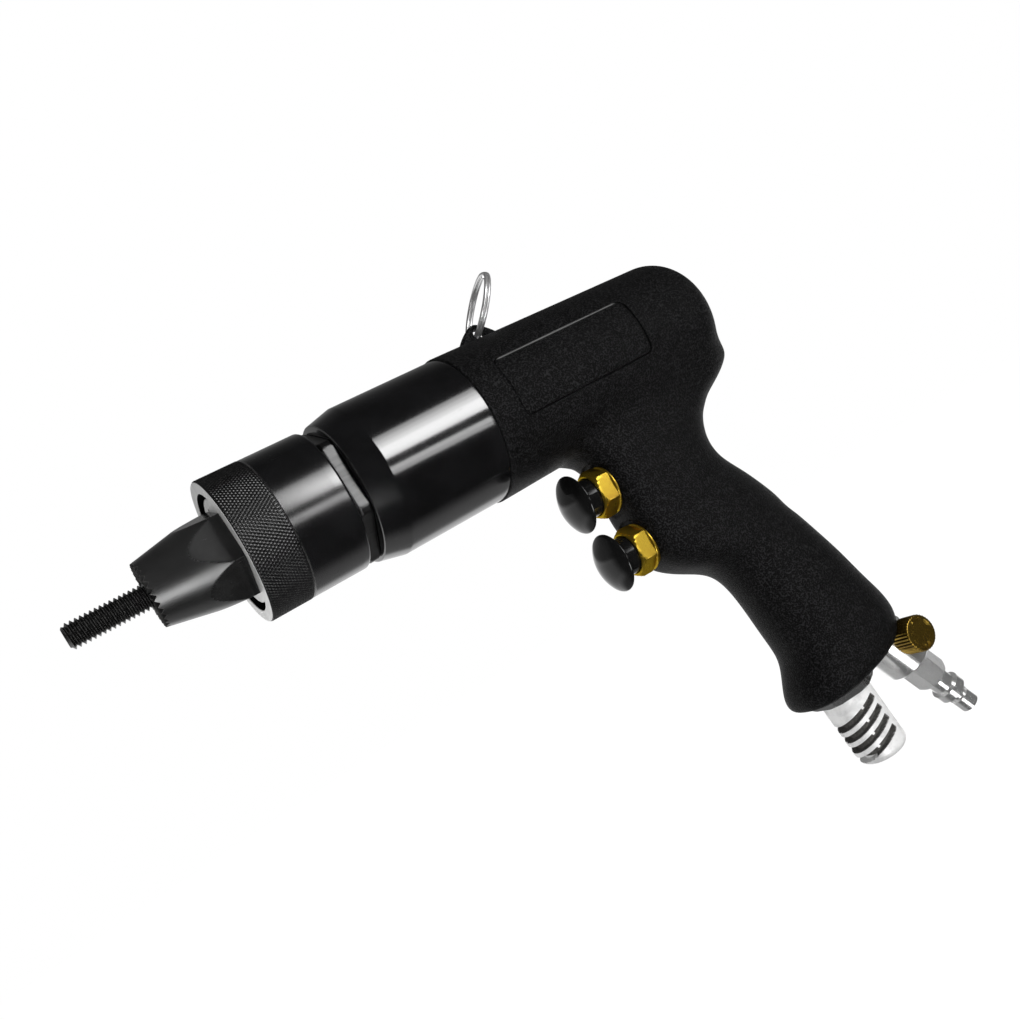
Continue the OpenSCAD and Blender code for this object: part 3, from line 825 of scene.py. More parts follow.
@dataclass
class Stud:
    """Threaded mandrel that takes the rivet nut."""

    tip_x: float = -24.0
    end_x: float = 4.0
    crest_r: float = 3.97
    pitch: float = 1.411
    depth: float = 0.86
    lead_r: float = 2.85
    lead_rise: float = 1.1
    shank_r: float = 3.05
    shank_end: float = 33.0
    columns: int = 44

    def thread(self) -> Array:
        """Thread surface.

        One pitch of a flat-topped V is carried along a helix: x = start + pitch * turn +
        offset, radius from the V. Near the tip a cone caps the radius, and x is held to the
        stud's length, so both ends come out flat.

        Returns:
            Grid of points, one row per step of the helix.
        """
        turns = (self.end_x - self.tip_x) / self.pitch + 1.0
        angle = np.linspace(0.0, turns * FULL, int(turns * self.columns) + 1)[:, None]
        offset = np.array([0.0, 0.06, 0.44, 0.56, 0.94, 1.0]) * self.pitch
        height = np.array([1.0, 1.0, 0.0, 0.0, 1.0, 1.0])
        x = np.clip(self.tip_x - self.pitch + self.pitch * angle / FULL + offset, self.tip_x, self.end_x)
        radius = self.crest_r - self.depth * (1.0 - height)
        return spun(x, np.minimum(radius, self.lead_r + (x - self.tip_x) * self.lead_rise), angle)

    def build(self) -> None:
        """Makes the stud in the mandrel's place."""
        skin = Skin().grid(self.thread(), around=False)
        root_r = self.crest_r - self.depth
        for x, radius, flip in ((self.tip_x, self.lead_r, False), (self.end_x, root_r, True)):
            disc = turned(np.array([[x, radius], [x, radius * 0.5]]), self.columns)
            skin.grid(disc, ends=(False, True), flip=flip)
        shank = np.array([[self.end_x, self.shank_r], [self.shank_end, self.shank_r]])
        skin.grid(turned(shank, self.columns), ends=(False, True))
        piece = skin.build("mandrel_stud", Finishes.THREAD, sharp=25.0)
        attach(piece, "spindle")
        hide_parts("mandrel")


@dataclass
class Nosepiece:
    """Serrated nosepiece: a cone that runs out into a hexagon."""

    front_r: float = 10.3
    length: float = 27.0
    slope: float = 0.207
    flats: float = 26.3
    turn: float = -9.0
    teeth: int = 30
    tooth: float = 1.25
    bore_r: float = 4.65
    shank_r: float = 9.5
    shank_end: float = 38.0
    samples: int = 12

    def surface(self) -> Array:
        """Outside and front face.

        The radius is the smaller of a cone and a hexagon's reach at that angle. The front
        edge x is a zigzag round the rim, deeper at the rim than at the bore.

        Returns:
            Closed grid of rows along the profile, columns round the axis.
        """
        angle = even_turn(self.teeth * self.samples)
        front = (1.0 - zigzag(angle * self.teeth / FULL)) * self.tooth
        reach = hexagon(angle, self.flats, self.turn)
        rows = rows_at(angle, (9.0, 4.3), (3.0, 4.3), (2.6, self.bore_r))
        for radius in np.linspace(self.bore_r, self.front_r - 0.12, 6):
            rows.append(np.stack([front * (0.35 + 0.65 * radius / self.front_r), radius + 0 * angle]))
        for share in np.linspace(0.0, 1.0, 46):
            x = front * (1.0 - share) + self.length * share
            rows.append(np.stack([x, np.minimum(self.front_r + self.slope * x, reach)]))
        rows += rows_at(angle, (self.length, 11.6), (self.length, self.shank_r))
        rows += rows_at(angle, (self.shank_end, self.shank_r), (self.shank_end, 5.0), (9.0, 5.0))
        grid = np.array(rows)
        return spun(grid[:, 0], grid[:, 1], angle)

    def build(self) -> None:
        """Makes the nosepiece, its milled flats apart from the turned cone."""
        skin = Skin().grid(self.surface(), along=True)
        piece = skin.build("serrated_nosepiece", Finishes.OXIDE, sharp=24.0)
        x, y, z = face_centres(piece).T
        radius = np.hypot(y, z)
        reach = hexagon(np.arctan2(z, y), self.flats, self.turn)
        flat = (radius > reach * (1.0 - 0.12 / self.flats)) & (x < self.length - 0.1)
        flat &= np.abs(self.front_r + self.slope * x - radius) > 0.04
        repaint(piece, flat, Finishes.FLATS)
        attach(piece, "nose")
        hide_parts("nosepiece")


@dataclass
class Sleeve:
    """Adjusting sleeve with its knurled band."""

    front: float = 26.0
    knurl_end: float = 40.5
    rear: float = 60.2
    radius: float = 23.7
    bore_r: float = 20.05
    diamonds: int = 134
    axial_pitch: float = 1.72
    depth: float = 0.32
    samples: int = 6

    def profile(self) -> Array:
        """Closed outline of the sleeve's wall: (x, radius, share of knurl) rows.

        Returns:
            Rows of x, radius and share of knurl.
        """
        band = np.arange(self.front + 0.45, self.knurl_end - 0.45, self.axial_pitch / self.samples)
        front, end, rear = self.front, self.knurl_end, self.rear
        big, smooth, bore = self.radius, self.radius - 0.15, self.bore_r
        rows = [(front, 19.7), (front, 20.6), (front, 22.6), (front, 23.15), (front + 0.12, 23.3)]
        knurl = [(x, big) for x in band]
        skirt = [(end - 0.15, big - 0.3), (end, smooth - 0.25), (end + 0.25, smooth)]
        skirt += [(x, smooth) for x in np.linspace(end + 2.0, rear - 1.0, 8)]
        skirt += [(rear - 0.6, smooth - 0.08), (rear - 0.25, smooth - 0.3), (rear, smooth - 0.8)]
        skirt += [(rear, bore), (41.5, bore), (41.5, 21.0), (40.1, 21.0), (40.1, bore), (35.2, bore)]
        skirt += [(35.2, 18.5), (34.0, 18.5), (34.0, 19.6), (front + 0.2, 19.6)]
        share = np.repeat([0.0, 1.0, 0.0], [len(rows), len(knurl), len(skirt)])
        return np.column_stack([np.array(rows + knurl + skirt), share])

    def surface(self) -> Array:
        """Spun outline with pyramids in the band.

        Two zigzags run along the two diagonals of the knurl; the smaller of them is the
        height of a four-sided pyramid, which the band's radius rises by.

        Returns:
            Closed grid of points.
        """
        rows = self.profile()
        angle = even_turn(self.diamonds * self.samples)
        around = angle[None] * self.diamonds / FULL
        along = (rows[:, :1] - self.front) / self.axial_pitch
        pyramid = np.minimum(zigzag(around + along), zigzag(around - along))
        return spun(rows[:, :1], rows[:, 1:2] - rows[:, 2:] * self.depth * (1.0 - pyramid), angle)

    def build(self) -> None:
        """Makes the sleeve; its bare front ring and its knurl have finishes of their own, and the step
        inside its bore gets a near-black, hardly reflecting finish as painted shade.
        """
        skin = Skin().grid(self.surface(), along=True)
        piece = skin.build("knurled_sleeve", Finishes.SLEEVE, sharp=35.0, merge=False)
        x, y, z = face_centres(piece).T
        radius = np.hypot(y, z)
        which = np.where((radius > 22.9) & (x < self.knurl_end - 0.2), 2, 0)
        # The step inside the bore gets the painted-shade finish.
        which = np.where(radius < 19.68, 3, which)
        which = np.where(x < self.front + 0.11, 1, which)
        repaint(piece, which, Finishes.BRIGHT, Finishes.KNURL, Finishes.PAINTED_SHADE)
        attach(piece, "sleeve")
        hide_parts("adjusting_sleeve")


@dataclass
class NoseCarrier:
    """Bright threaded carrier behind the nosepiece, set back inside the sleeve."""

    face_x: float = 27.0
    back_x: float = 40.0
    radius: float = 17.58
    inner_r: float = 9.6
    hole_r: float = 1.0
    hole_at: float = 14.0
    hole_turn: float = 92.3
    hole_depth: float = 2.0

    def surface(self) -> Array:
        """Closed outline spun about the axis, its face dished by a round pin hole.

        Returns:
            Grid of the surface's points.
        """
        face, back, rim = self.face_x, self.back_x, self.radius
        rows = [(back, self.inner_r), (face + 0.3, self.inner_r), (face, self.inner_r + 0.3)]
        rows += [(face, r) for r in np.linspace(10.2, rim - 0.55, 44)]
        rows += [(face + 0.12, rim - 0.18), (face + 0.45, rim), (back, rim)]
        grid = turned(np.array(rows), 360)
        turn = math.radians(self.hole_turn)
        y, z = self.hole_at * math.cos(turn), self.hole_at * math.sin(turn)
        far = np.hypot(grid[..., 1] - y, grid[..., 2] - z)
        on_face = np.abs(grid[..., 0] - face) < 0.01
        grid[..., 0] += on_face * self.hole_depth * (1.0 - step(self.hole_r - 0.2, self.hole_r, far))
        return grid

    def build(self) -> None:
        """Makes the carrier."""
        skin = Skin().grid(self.surface(), along=True)
        piece = skin.build("nose_carrier_face", Finishes.BRIGHT, sharp=30.0)
        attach(piece, "nose")
        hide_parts("nose_carrier")


@dataclass
class GearCase:
    """Gear case: a threaded nose, a cone, a polished cylinder and the spigot for the housing."""

    thread_r: float = 19.95
    pitch: float = 1.5
    thread_depth: float = 0.55
    cone_r: float = 23.9
    cone_rise: float = 2.06 / 8.4
    case_r: float = 26.0
    spigot_r: float = 24.0
    pocket_r: float = 12.0
    bore_r: float = 22.0
    columns: int = 320

    def surface(self) -> Array:
        """Outline spun about the axis, the nose cut by a screw thread.

        The thread's depth follows a zigzag of x over the pitch plus the turn over a full turn.

        Returns:
            Closed grid of points.
        """
        lead = [(48.0, 8.3), (43.4, 8.3), (43.4, 18.9), (43.9, 19.3)]
        nose = [(x, self.thread_r) for x in np.arange(44.0, 63.2, self.pitch / 10)]
        rows = [(63.5, 19.3), (64.7, 19.3), (64.7, 23.45), (64.78, 23.62), (65.0, self.cone_r)]
        rows += [(x, self.cone_r + (x - 65.0) * self.cone_rise) for x in np.linspace(66.0, 73.0, 8)]
        rows += [(73.35, 25.94), (73.6, 25.99), (74.0, self.case_r)]
        rows += [(x, self.case_r) for x in np.linspace(76.0, 111.6, 24)]
        rows += [(111.95, 25.95), (112.2, 25.75), (112.2, self.spigot_r), (120.2, self.spigot_r)]
        rows += [(120.2, self.bore_r), (70.0, self.bore_r), (70.0, self.pocket_r), (48.0, self.pocket_r)]
        share = np.repeat([0.0, 1.0, 0.0], [len(lead), len(nose), len(rows)])[:, None]
        x, radius = np.array(lead + nose + rows).T[..., None]
        angle = even_turn(self.columns)
        groove = 1.0 - zigzag(x / self.pitch + angle / FULL)
        return spun(x, radius - share * self.thread_depth * groove, angle)

    def build(self) -> None:
        """Makes the gear case."""
        skin = Skin().grid(self.surface(), along=True)
        piece = skin.build("polished_gear_case", Finishes.CASE, sharp=30.0, merge=False)
        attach(piece, "tool_body")
        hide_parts("gear_case")


@dataclass
class LockNut:
    """Thin hexagon nut behind the sleeve, its corners turned off round."""

    front: float = 60.4
    rear: float = 64.4
    flats: float = 41.0
    corner_r: float = 23.1
    turn: float = -1.0
    bore_r: float = 20.0
    lip_r: float = 20.35

    def surface(self) -> Array:
        """Hexagon reach at each angle, held to a round that narrows by a fall at both faces.

        Returns:
            Grid of the surface's points.
        """
        angle = even_turn(360)
        reach = hexagon(angle, self.flats, self.turn)
        rows = rows_at(angle, (self.rear, self.bore_r), (self.front, self.bore_r), (self.front, self.lip_r))
        falls = ((0.0, 0.55), (0.3, 0.22), (0.7, 0.0), (2.0, 0.0), (3.3, 0.0), (3.7, 0.22), (4.0, 0.55))
        for x, fall in falls:
            around = np.minimum(reach - 0.12 * (fall > 0.3), self.corner_r - fall)
            rows.append(np.stack([self.front + x + 0 * angle, around]))
        rows += rows_at(angle, (self.rear, self.lip_r))
        grid = np.array(rows)
        return spun(grid[:, 0], grid[:, 1], angle)

    def build(self) -> None:
        """Makes the nut."""
        skin = Skin().grid(self.surface(), along=True)
        piece = skin.build("sleeve_lock_nut", Finishes.NUT_STEEL, sharp=22.0)
        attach(piece, "lock_nut_body")
        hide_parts("lock_nut")


# Housing


@dataclass
class Housing:
    """One-piece moulded pistol housing: barrel, filleted grip and lug.

    The panel is (front x, back x, lowest z, highest z). A station of the grip is (height,
    front x, back x, share of the full half width, squareness in front, squareness behind,
    slope of the outline against x).
    """

    front_x: float = 112.2
    taper_x: float = 203.0
    rear_x: float = 218.0
    front_r: float = 26.5
    rear_r: float = 25.2
    round_r: float = 15.0
    bore_r: float = 22.0
    spigot_r: float = 24.0
    half_width: float = 15.4
    slope_x: float = 190.0
    panel: tuple[float, float, float, float] = (123.0, 178.9, -9.8, 11.4)
    panel_corner: float = 2.5
    panel_depth: float = 0.5
    panel_edge: float = 0.28
    panel_y: float = 12.0
    panel_r: float = 26.1
    fillet: float = 9.0
    flank: tuple[float, float] = (3.0, 13.0)
    crease: float = 1.2
    tuck: float = 0.45
    grip_top: float = -1.0
    joined_above: float = -60.0
    foot_below: float = -120.0
    valve_seats: tuple[Point, ...] = ((147.2, 0, -41.1), (147.2, 0, -64.8))
    valve_tilt: float = 3.0
    valve_seat_r: float = 10.6
    knob_room: Point = (215.0, -9.0, -144.5)
    knob_room_r: float = 7.0
    inlet: Point = (213.9, 0, -143.1)
    inlet_tilt: float = 25.1
    inlet_r: float = 11.0
    inlet_top: float = 1.4
    eye: tuple[float, float] = (137.3, 28.5)
    eye_r: float = 2.1
    lug_half: float = 2.0
    lug_round: float = 1.4
    lug_corners: tuple[tuple[float, float], ...] = (
        (126.0, 23.5), (128.0, 27.2), (134.5, 32.2), (137.0, 32.8), (144.0, 27.2), (146.0, 23.5),
    )
    around: int = 176
    per_station: int = 8
    stations: tuple[tuple[float, ...], ...] = (
        (-12.0, 150.0, 215.0, 1.06, 2.6, 2.8, 0),
        (-17.0, 146.0, 219.0, 1.02, 2.5, 3.0, 0),
        (-21.0, 142.5, 219.7, 1.00, 2.4, 3.0, 0),
        (-25.0, 140.0, 215.0, 0.99, 2.4, 2.7, 0),
        (-28.0, 142.4, 209.2, 0.99, 2.6, 2.5, 0),
        (-30.5, 144.6, 204.2, 0.99, 2.9, 2.4, 0),
        (-33.0, 146.0, 200.8, 0.99, 3.2, 2.3, 0),
        (-36.5, 146.8, 197.2, 0.99, 3.6, 2.2, 0),
        (-42.0, 146.8, 194.0, 0.99, 3.6, 2.2, 0),
        (-47.5, 146.6, 192.9, 1.00, 3.6, 2.2, 0),
        (-53.0, 146.3, 194.0, 1.01, 3.6, 2.2, 0),
        (-58.5, 146.6, 197.0, 1.02, 3.6, 2.2, 0),
        (-64.0, 147.2, 200.2, 1.03, 3.6, 2.2, 0),
        (-71.0, 148.2, 203.6, 1.04, 3.4, 2.2, 0),
        (-76.0, 151.2, 205.4, 1.04, 3.0, 2.2, 0),
        (-80.5, 157.0, 206.4, 1.04, 2.6, 2.2, 0),
        (-85.0, 164.2, 207.9, 1.05, 2.3, 2.2, 0),
        (-90.0, 168.9, 209.5, 1.06, 2.2, 2.2, 0),
        (-97.0, 171.3, 211.8, 1.08, 2.2, 2.2, 0),
        (-106.0, 172.3, 214.6, 1.11, 2.2, 2.2, 0),
        (-116.0, 172.8, 217.2, 1.14, 2.2, 2.2, 0),
        (-124.0, 173.2, 219.4, 1.17, 2.2, 2.2, 0.01),
        (-129.5, 172.0, 220.4, 1.20, 2.2, 2.2, 0.03),
        (-134.5, 168.8, 220.5, 1.23, 2.2, 2.2, 0.06),
        (-138.8, 166.4, 219.4, 1.24, 2.3, 2.2, 0.09),
        (-141.8, 166.4, 217.2, 1.21, 2.4, 2.3, 0.11),
        (-143.8, 168.2, 214.2, 1.13, 2.4, 2.3, 0.11),
        (-144.9, 172.0, 210.4, 0.97, 2.4, 2.3, 0.11),
    )

    def __post_init__(self) -> None:
        """Works out the finer stations once."""
        self.fine = spline(np.array(self.stations), (len(self.stations) - 1) * self.per_station + 1)

    def wall_r(self, x: Array) -> Array:
        """Radius of the barrel's wall, which narrows evenly from front_x to taper_x."""
        length = self.taper_x - self.front_x
        return self.front_r + (self.rear_r - self.front_r) * (x - self.front_x) / length

    def barrel_distance(self, p: Array) -> Array:
        """Distance to the barrel: radius less its taper, and a rounded end behind taper_x.

        The side panels add their depth inside a rounded rectangle on both sides.

        Args:
            p: Points in millimetres, with x, y and z on the last axis.

        Returns:
            Distance at each point, negative inside.
        """
        x, y, z = p[..., 0], p[..., 1], p[..., 2]
        r = np.hypot(y, z)
        end = past_corner(x - self.taper_x, r - (self.rear_r - self.round_r)) - self.round_r
        body = np.where(x < self.taper_x, r - self.wall_r(x), end)
        x0, x1, z0, z1 = self.panel
        dx = np.abs(x - (x0 + x1) / 2) - (x1 - x0) / 2 + self.panel_corner
        dz = np.abs(z - (z0 + z1) / 2) - (z1 - z0) / 2 + self.panel_corner
        inside = past_corner(dx, dz) - self.panel_corner
        sunk = (1.0 - step(-self.panel_edge, self.panel_edge, inside)) * (np.abs(y) > self.panel_y)
        return body + self.panel_depth * sunk

    def grip_distance(self, p: Array) -> Array:
        """Distance to the grip: how far past its rounded outline a point lies, or past its top.

        At the point's height the outline is |u/a|^n + |v/b|^n = 1; the point's reach from
        the middle, less its reach to the outline along the same line, is the distance.

        Args:
            p: Points in millimetres, with x, y and z on the last axis.

        Returns:
            Distance at each point, negative inside.
        """
        x, y, z = p[..., 0], p[..., 1], p[..., 2]
        rows = self.fine[::-1]
        front, back, wide, sq_f, sq_b = (np.interp(z, rows[:, 0], rows[:, k]) for k in range(1, 6))
        u, half = x - (front + back) / 2, (back - front) / 2
        n = np.where(u < 0, sq_f, sq_b)
        rho = ((np.abs(u) / half) ** n + (np.abs(y) / (wide * self.half_width)) ** n) ** (1 / n)
        return np.maximum(np.hypot(u, y) * (1.0 - 1.0 / np.maximum(rho, 1e-3)), z - self.grip_top)

    def distance(self, p: Array) -> Array:
        """Distance to barrel and grip, with a fillet that is wide on the flanks and tight in the middle."""
        width = self.crease + (self.fillet - self.crease) * step(*self.flank, np.abs(p[..., 1]))
        return grown_together(self.barrel_distance(p), self.grip_distance(p), width)

    def cut(self, p: Array, joined: Array) -> Array:
        """Takes the valve seats, the knob's room and the inlet's seat out of a distance.

        Each is a half-endless cylinder; the result is the larger of the distance and the
        cylinder's own, turned inside out.

        Args:
            p: Points in millimetres, with x, y and z on the last axis.
            joined: Distance at each point before the cuts.

        Returns:
            Distance at each point after them.
        """
        out = joined
        for seat in self.valve_seats:
            local = rotated(p - np.array(seat), 1, -self.valve_tilt)
            far = np.hypot(local[..., 1], local[..., 2]) - self.valve_seat_r
            out = np.maximum(out, -np.maximum(far, local[..., 0]))
        local = p - np.array(self.knob_room)
        far = np.hypot(local[..., 0], local[..., 2]) - self.knob_room_r
        out = np.maximum(out, -np.maximum(far, local[..., 1]))
        local = rotated(p - np.array(self.inlet), 1, self.inlet_tilt)
        far = np.hypot(local[..., 0], local[..., 1]) - self.inlet_r
        return np.maximum(out, -np.maximum(far, local[..., 2] - self.inlet_top))

    def settle(self, start: Array, out: Array, high: float, cuts: bool) -> Array:
        """Moves points along a direction until they lie on the joined surface, found by halving.

        Args:
            start: first places, inside the surface.
            out: unit directions outward.
            high: farthest stop.
            cuts: whether the seats are taken out.

        Returns:
            The distance moved by each point.
        """

        def inside(middle: Array) -> Array:
            """Which points are still inside at these distances.

            Args:
                middle: Distances to try.

            Returns:
                True where the point is inside.
            """
            p = start + out * middle[..., None]
            value = self.distance(p)
            return (self.cut(p, value) if cuts else value) < 0

        shape = start.shape[:-1]
        return halved(np.zeros(shape), np.full(shape, high), inside)

    def barrel_rows(self) -> tuple[Array, Array]:
        """Barrel's outline and outward directions as (x, radius) rows, finer at the panel's ends.

        Returns:
            Rows of the outline, and as many rows of its outward directions.
        """
        x0, x1 = self.panel[:2]
        spots = [np.linspace(self.front_x + 0.35, x0 - 1.0, 9), np.linspace(x0 - 0.8, x0 + 2.8, 16)]
        spots += [np.linspace(x0 + 3.5, x1 - 3.5, 46), np.linspace(x1 - 2.8, x1 + 0.8, 16)]
        x = np.concatenate([*spots, np.linspace(x1 + 1.5, self.taper_x, 24)])
        turn = np.linspace(0, np.pi / 2, 26)[1:]
        bend = np.stack([np.sin(turn), np.cos(turn)], -1)
        corner = np.array([self.taper_x, self.rear_r - self.round_r])
        line = np.vstack([np.stack([x, self.wall_r(x)], -1), corner + self.round_r * bend])
        return line, np.vstack([np.tile([0.0, 1.0], (len(x), 1)), bend])

    def barrel_angles(self) -> Array:
        """Angles round the barrel, finer where the panels' long edges run.

        Returns:
            Angles in radians.
        """
        near = np.linspace(-0.11, 0.11, 21)
        edges = [even_turn(150)]
        for z in self.panel[2:]:
            right = math.asin(z / self.panel_r)
            edges += [right + near, math.pi - right + near]
        return np.unique(np.round(np.concatenate(edges) % FULL, 4))

    def barrel(self, skin: Skin) -> None:
        """Adds the barrel: rim, wall, rounded back and the bore that takes the motor.

        The wall starts 1 mm inside its outline and moves out to the joined surface. Where
        the grip covers it, it is tucked in.

        Args:
            skin: Skin that gets the surfaces.
        """
        line, ways = self.barrel_rows()
        angle = self.barrel_angles()
        out = spun(ways[:, :1], ways[:, 1:], angle)
        start = spun(line[:, :1], line[:, 1:], angle) - out
        wall = start + out * self.settle(start, out, 4.2, False)[..., None]
        gap = self.barrel_distance(wall) - self.grip_distance(wall)
        wall -= out * (self.tuck * step(0.0, 3.0, gap))[..., None]
        x, r = self.front_x, self.front_r
        bore = [(172.0, self.bore_r), (x + 8.0, self.bore_r), (x + 8.0, self.spigot_r)]
        bore += [(x + 0.1, self.spigot_r), (x, self.spigot_r + 0.1), (x, r - 0.35), (x + 0.1, r - 0.1)]
        tail = [(self.rear_x, 8.0), (self.rear_x, 4.0)]
        before, after = (spun(rows[:, :1], rows[:, 1:], angle) for rows in (np.array(bore), np.array(tail)))
        skin.grid(np.concatenate([before, wall, after]), ends=(True, True))

    def grip(self, skin: Skin) -> None:
        """Adds the grip: rounded outlines at the stations, its top hidden in the barrel, a flat foot.

        Args:
            skin: Skin that gets the surfaces.
        """
        s = self.fine[:, :, None]
        angle = even_turn(self.around) + np.pi / self.around
        c, v = np.cos(angle)[None], np.sin(angle)[None]
        square = np.where(c < 0, s[:, 4], s[:, 5])
        x = (s[:, 1] + s[:, 2]) / 2 + (s[:, 2] - s[:, 1]) / 2 * np.sign(c) * np.abs(c) ** (2 / square)
        y = self.half_width * s[:, 3] * np.sign(v) * np.abs(v) ** (2 / square)
        wall = np.stack([x, y, s[:, 0] + s[:, 6] * (x - self.slope_x)], -1)
        middle = wall[-1].mean(0)
        shrink = np.array([0.93, 0.8, 0.6, 0.4, 0.2])[:, None, None]
        wall = np.concatenate([wall, middle + (wall[-1] - middle) * shrink])
        out = np.cross(np.roll(wall, -1, 1) - np.roll(wall, 1, 1), np.gradient(wall, axis=0))
        out /= np.maximum(np.linalg.norm(out, axis=-1, keepdims=True), 1e-9)
        out *= np.sign((out * (wall - wall.mean(1, keepdims=True))).sum(-1, keepdims=True))
        high = wall[..., 2] > self.joined_above
        rise = np.zeros(wall.shape[:2])
        rise[high] = self.settle(wall[high] - out[high], out[high], 9.0, True) - 1.0
        wall = wall + out * rise[..., None]
        gap = self.grip_distance(wall) - self.barrel_distance(wall)
        wall -= out * (self.tuck * step(0.0, 3.0, gap) * high)[..., None]
        low = wall[..., 2] < self.foot_below
        wall[low] = self.seated(wall[low], out[low])
        skin.grid(wall, ends=(True, True), flip=True)

    def seated(self, points: Array, out: Array) -> Array:
        """Draws points of the foot inward until they clear the knob's room and the inlet's seat.

        Args:
            points: Points of the foot.
            out: Their outward directions.

        Returns:
            The points, drawn in where they have to be.
        """

        def fouls(depth: Array) -> Array:
            """Which points lie in a cut at these depths."""
            return self.cut(points - out * depth[:, None], np.full(len(points), -1.0)) > 0

        start = np.zeros(len(points))
        depth = halved(start, start + 9.0, fouls, 14)
        return points - out * np.where(fouls(start), depth, 0.0)[:, None]

    def lug(self, skin: Skin) -> None:
        """Adds the lug: a rounded outline about the eye, carried round from hole to rim and back.

        At each angle about the eye the outline's reach is where a smooth largest distance
        to the six edges of a low wedge is nothing, found by halving; the loop across the
        plate has rounded lips.

        Args:
            skin: Skin that gets the surfaces.
        """
        angle = np.linspace(0, 2 * np.pi, 96, endpoint=False)
        way = np.stack([np.cos(angle), np.sin(angle)], -1)
        corners = np.array(self.lug_corners)
        edge = np.roll(corners, -1, 0) - corners
        normal = np.stack([-edge[:, 1], edge[:, 0]], -1) / np.linalg.norm(edge, axis=1, keepdims=True)

        def inside(reach: Array) -> Array:
            """Which reaches from the eye stay inside the wedge.

            Args:
                reach: Reaches to try.

            Returns:
                True where the reach is inside.
            """
            p = way * reach[:, None] + np.array(self.eye)
            wedge = np.einsum("nkc,kc->nk", p[:, None] - corners[None], normal)
            return np.log(np.exp(wedge * self.lug_round).sum(1)) / self.lug_round < 0

        reach = halved(np.full(96, 2.5), np.full(96, 14.0), inside)
        half = self.lug_half
        loop = rounded([(0.0, half, 0.7), (1.0, half, 1.3), (1.0, -half, 1.3), (0.0, -half, 0.7)], 7)
        share, y = loop[:, :1], loop[:, 1:]
        radius = self.eye_r + (reach[None] - self.eye_r) * share
        x, z = self.eye[0] + radius * way[None, :, 0], self.eye[1] + radius * way[None, :, 1]
        skin.grid(np.stack([x, y + 0 * radius, z], -1), along=True)

    def build(self) -> None:
        """Makes the housing."""
        skin = Skin()
        self.barrel(skin)
        self.grip(skin)
        self.lug(skin)
        piece = skin.build("moulded_housing", Finishes.MOULDING, sharp=38.0)
        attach(piece, "tool_body")
        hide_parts("housing")


@dataclass
class HangingRing:
    """Split ring of two turns of wire through the lug's eye.

    Roll, twist and lean are the degrees that it hangs turned about X, Z and Y.
    """

    eye: Point = (137.3, 0.0, 28.5)
    roll: float = -14.0
    twist: float = -1.6
    lean: float = 38.0
    radius: float = 12.5
    wire: float = 0.64
    apart: float = 0.6
    split: float = 2.3
    gap: float = 0.32

    def surface(self) -> Array:
        """Wire of two turns: a circle carried along a ring that shifts sideways at the split.

        Returns:
            Grid of the surface's points.
        """
        t = np.linspace(self.gap, 2 * FULL - self.gap, 300)
        side = -self.apart + 2 * self.apart * step(FULL - self.gap, FULL + self.gap, t)
        around = np.linspace(0, 2 * np.pi, 20, endpoint=False)
        ends = step(0.0, 0.05, t - t[0]) * step(0.0, 0.05, t[-1] - t)
        wire = self.wire * (0.55 + 0.45 * ends)[:, None]
        reach = self.radius + wire * np.cos(around)
        place = (t + self.split)[:, None]
        up = self.radius + reach * np.sin(place)
        local = np.stack([side[:, None] + wire * np.sin(around), reach * np.cos(place), up], -1)
        return lean(rotated(rotated(local, 0, self.roll), 2, self.twist), self.eye, self.lean)

    def build(self) -> None:
        """Makes the ring."""
        skin = Skin().grid(self.surface(), ends=(True, True))
        piece = skin.build("split_ring", Finishes.WIRE, sharp=60.0)
        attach(piece, "hanging_ring")
        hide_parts("suspension_ring")


# Fittings


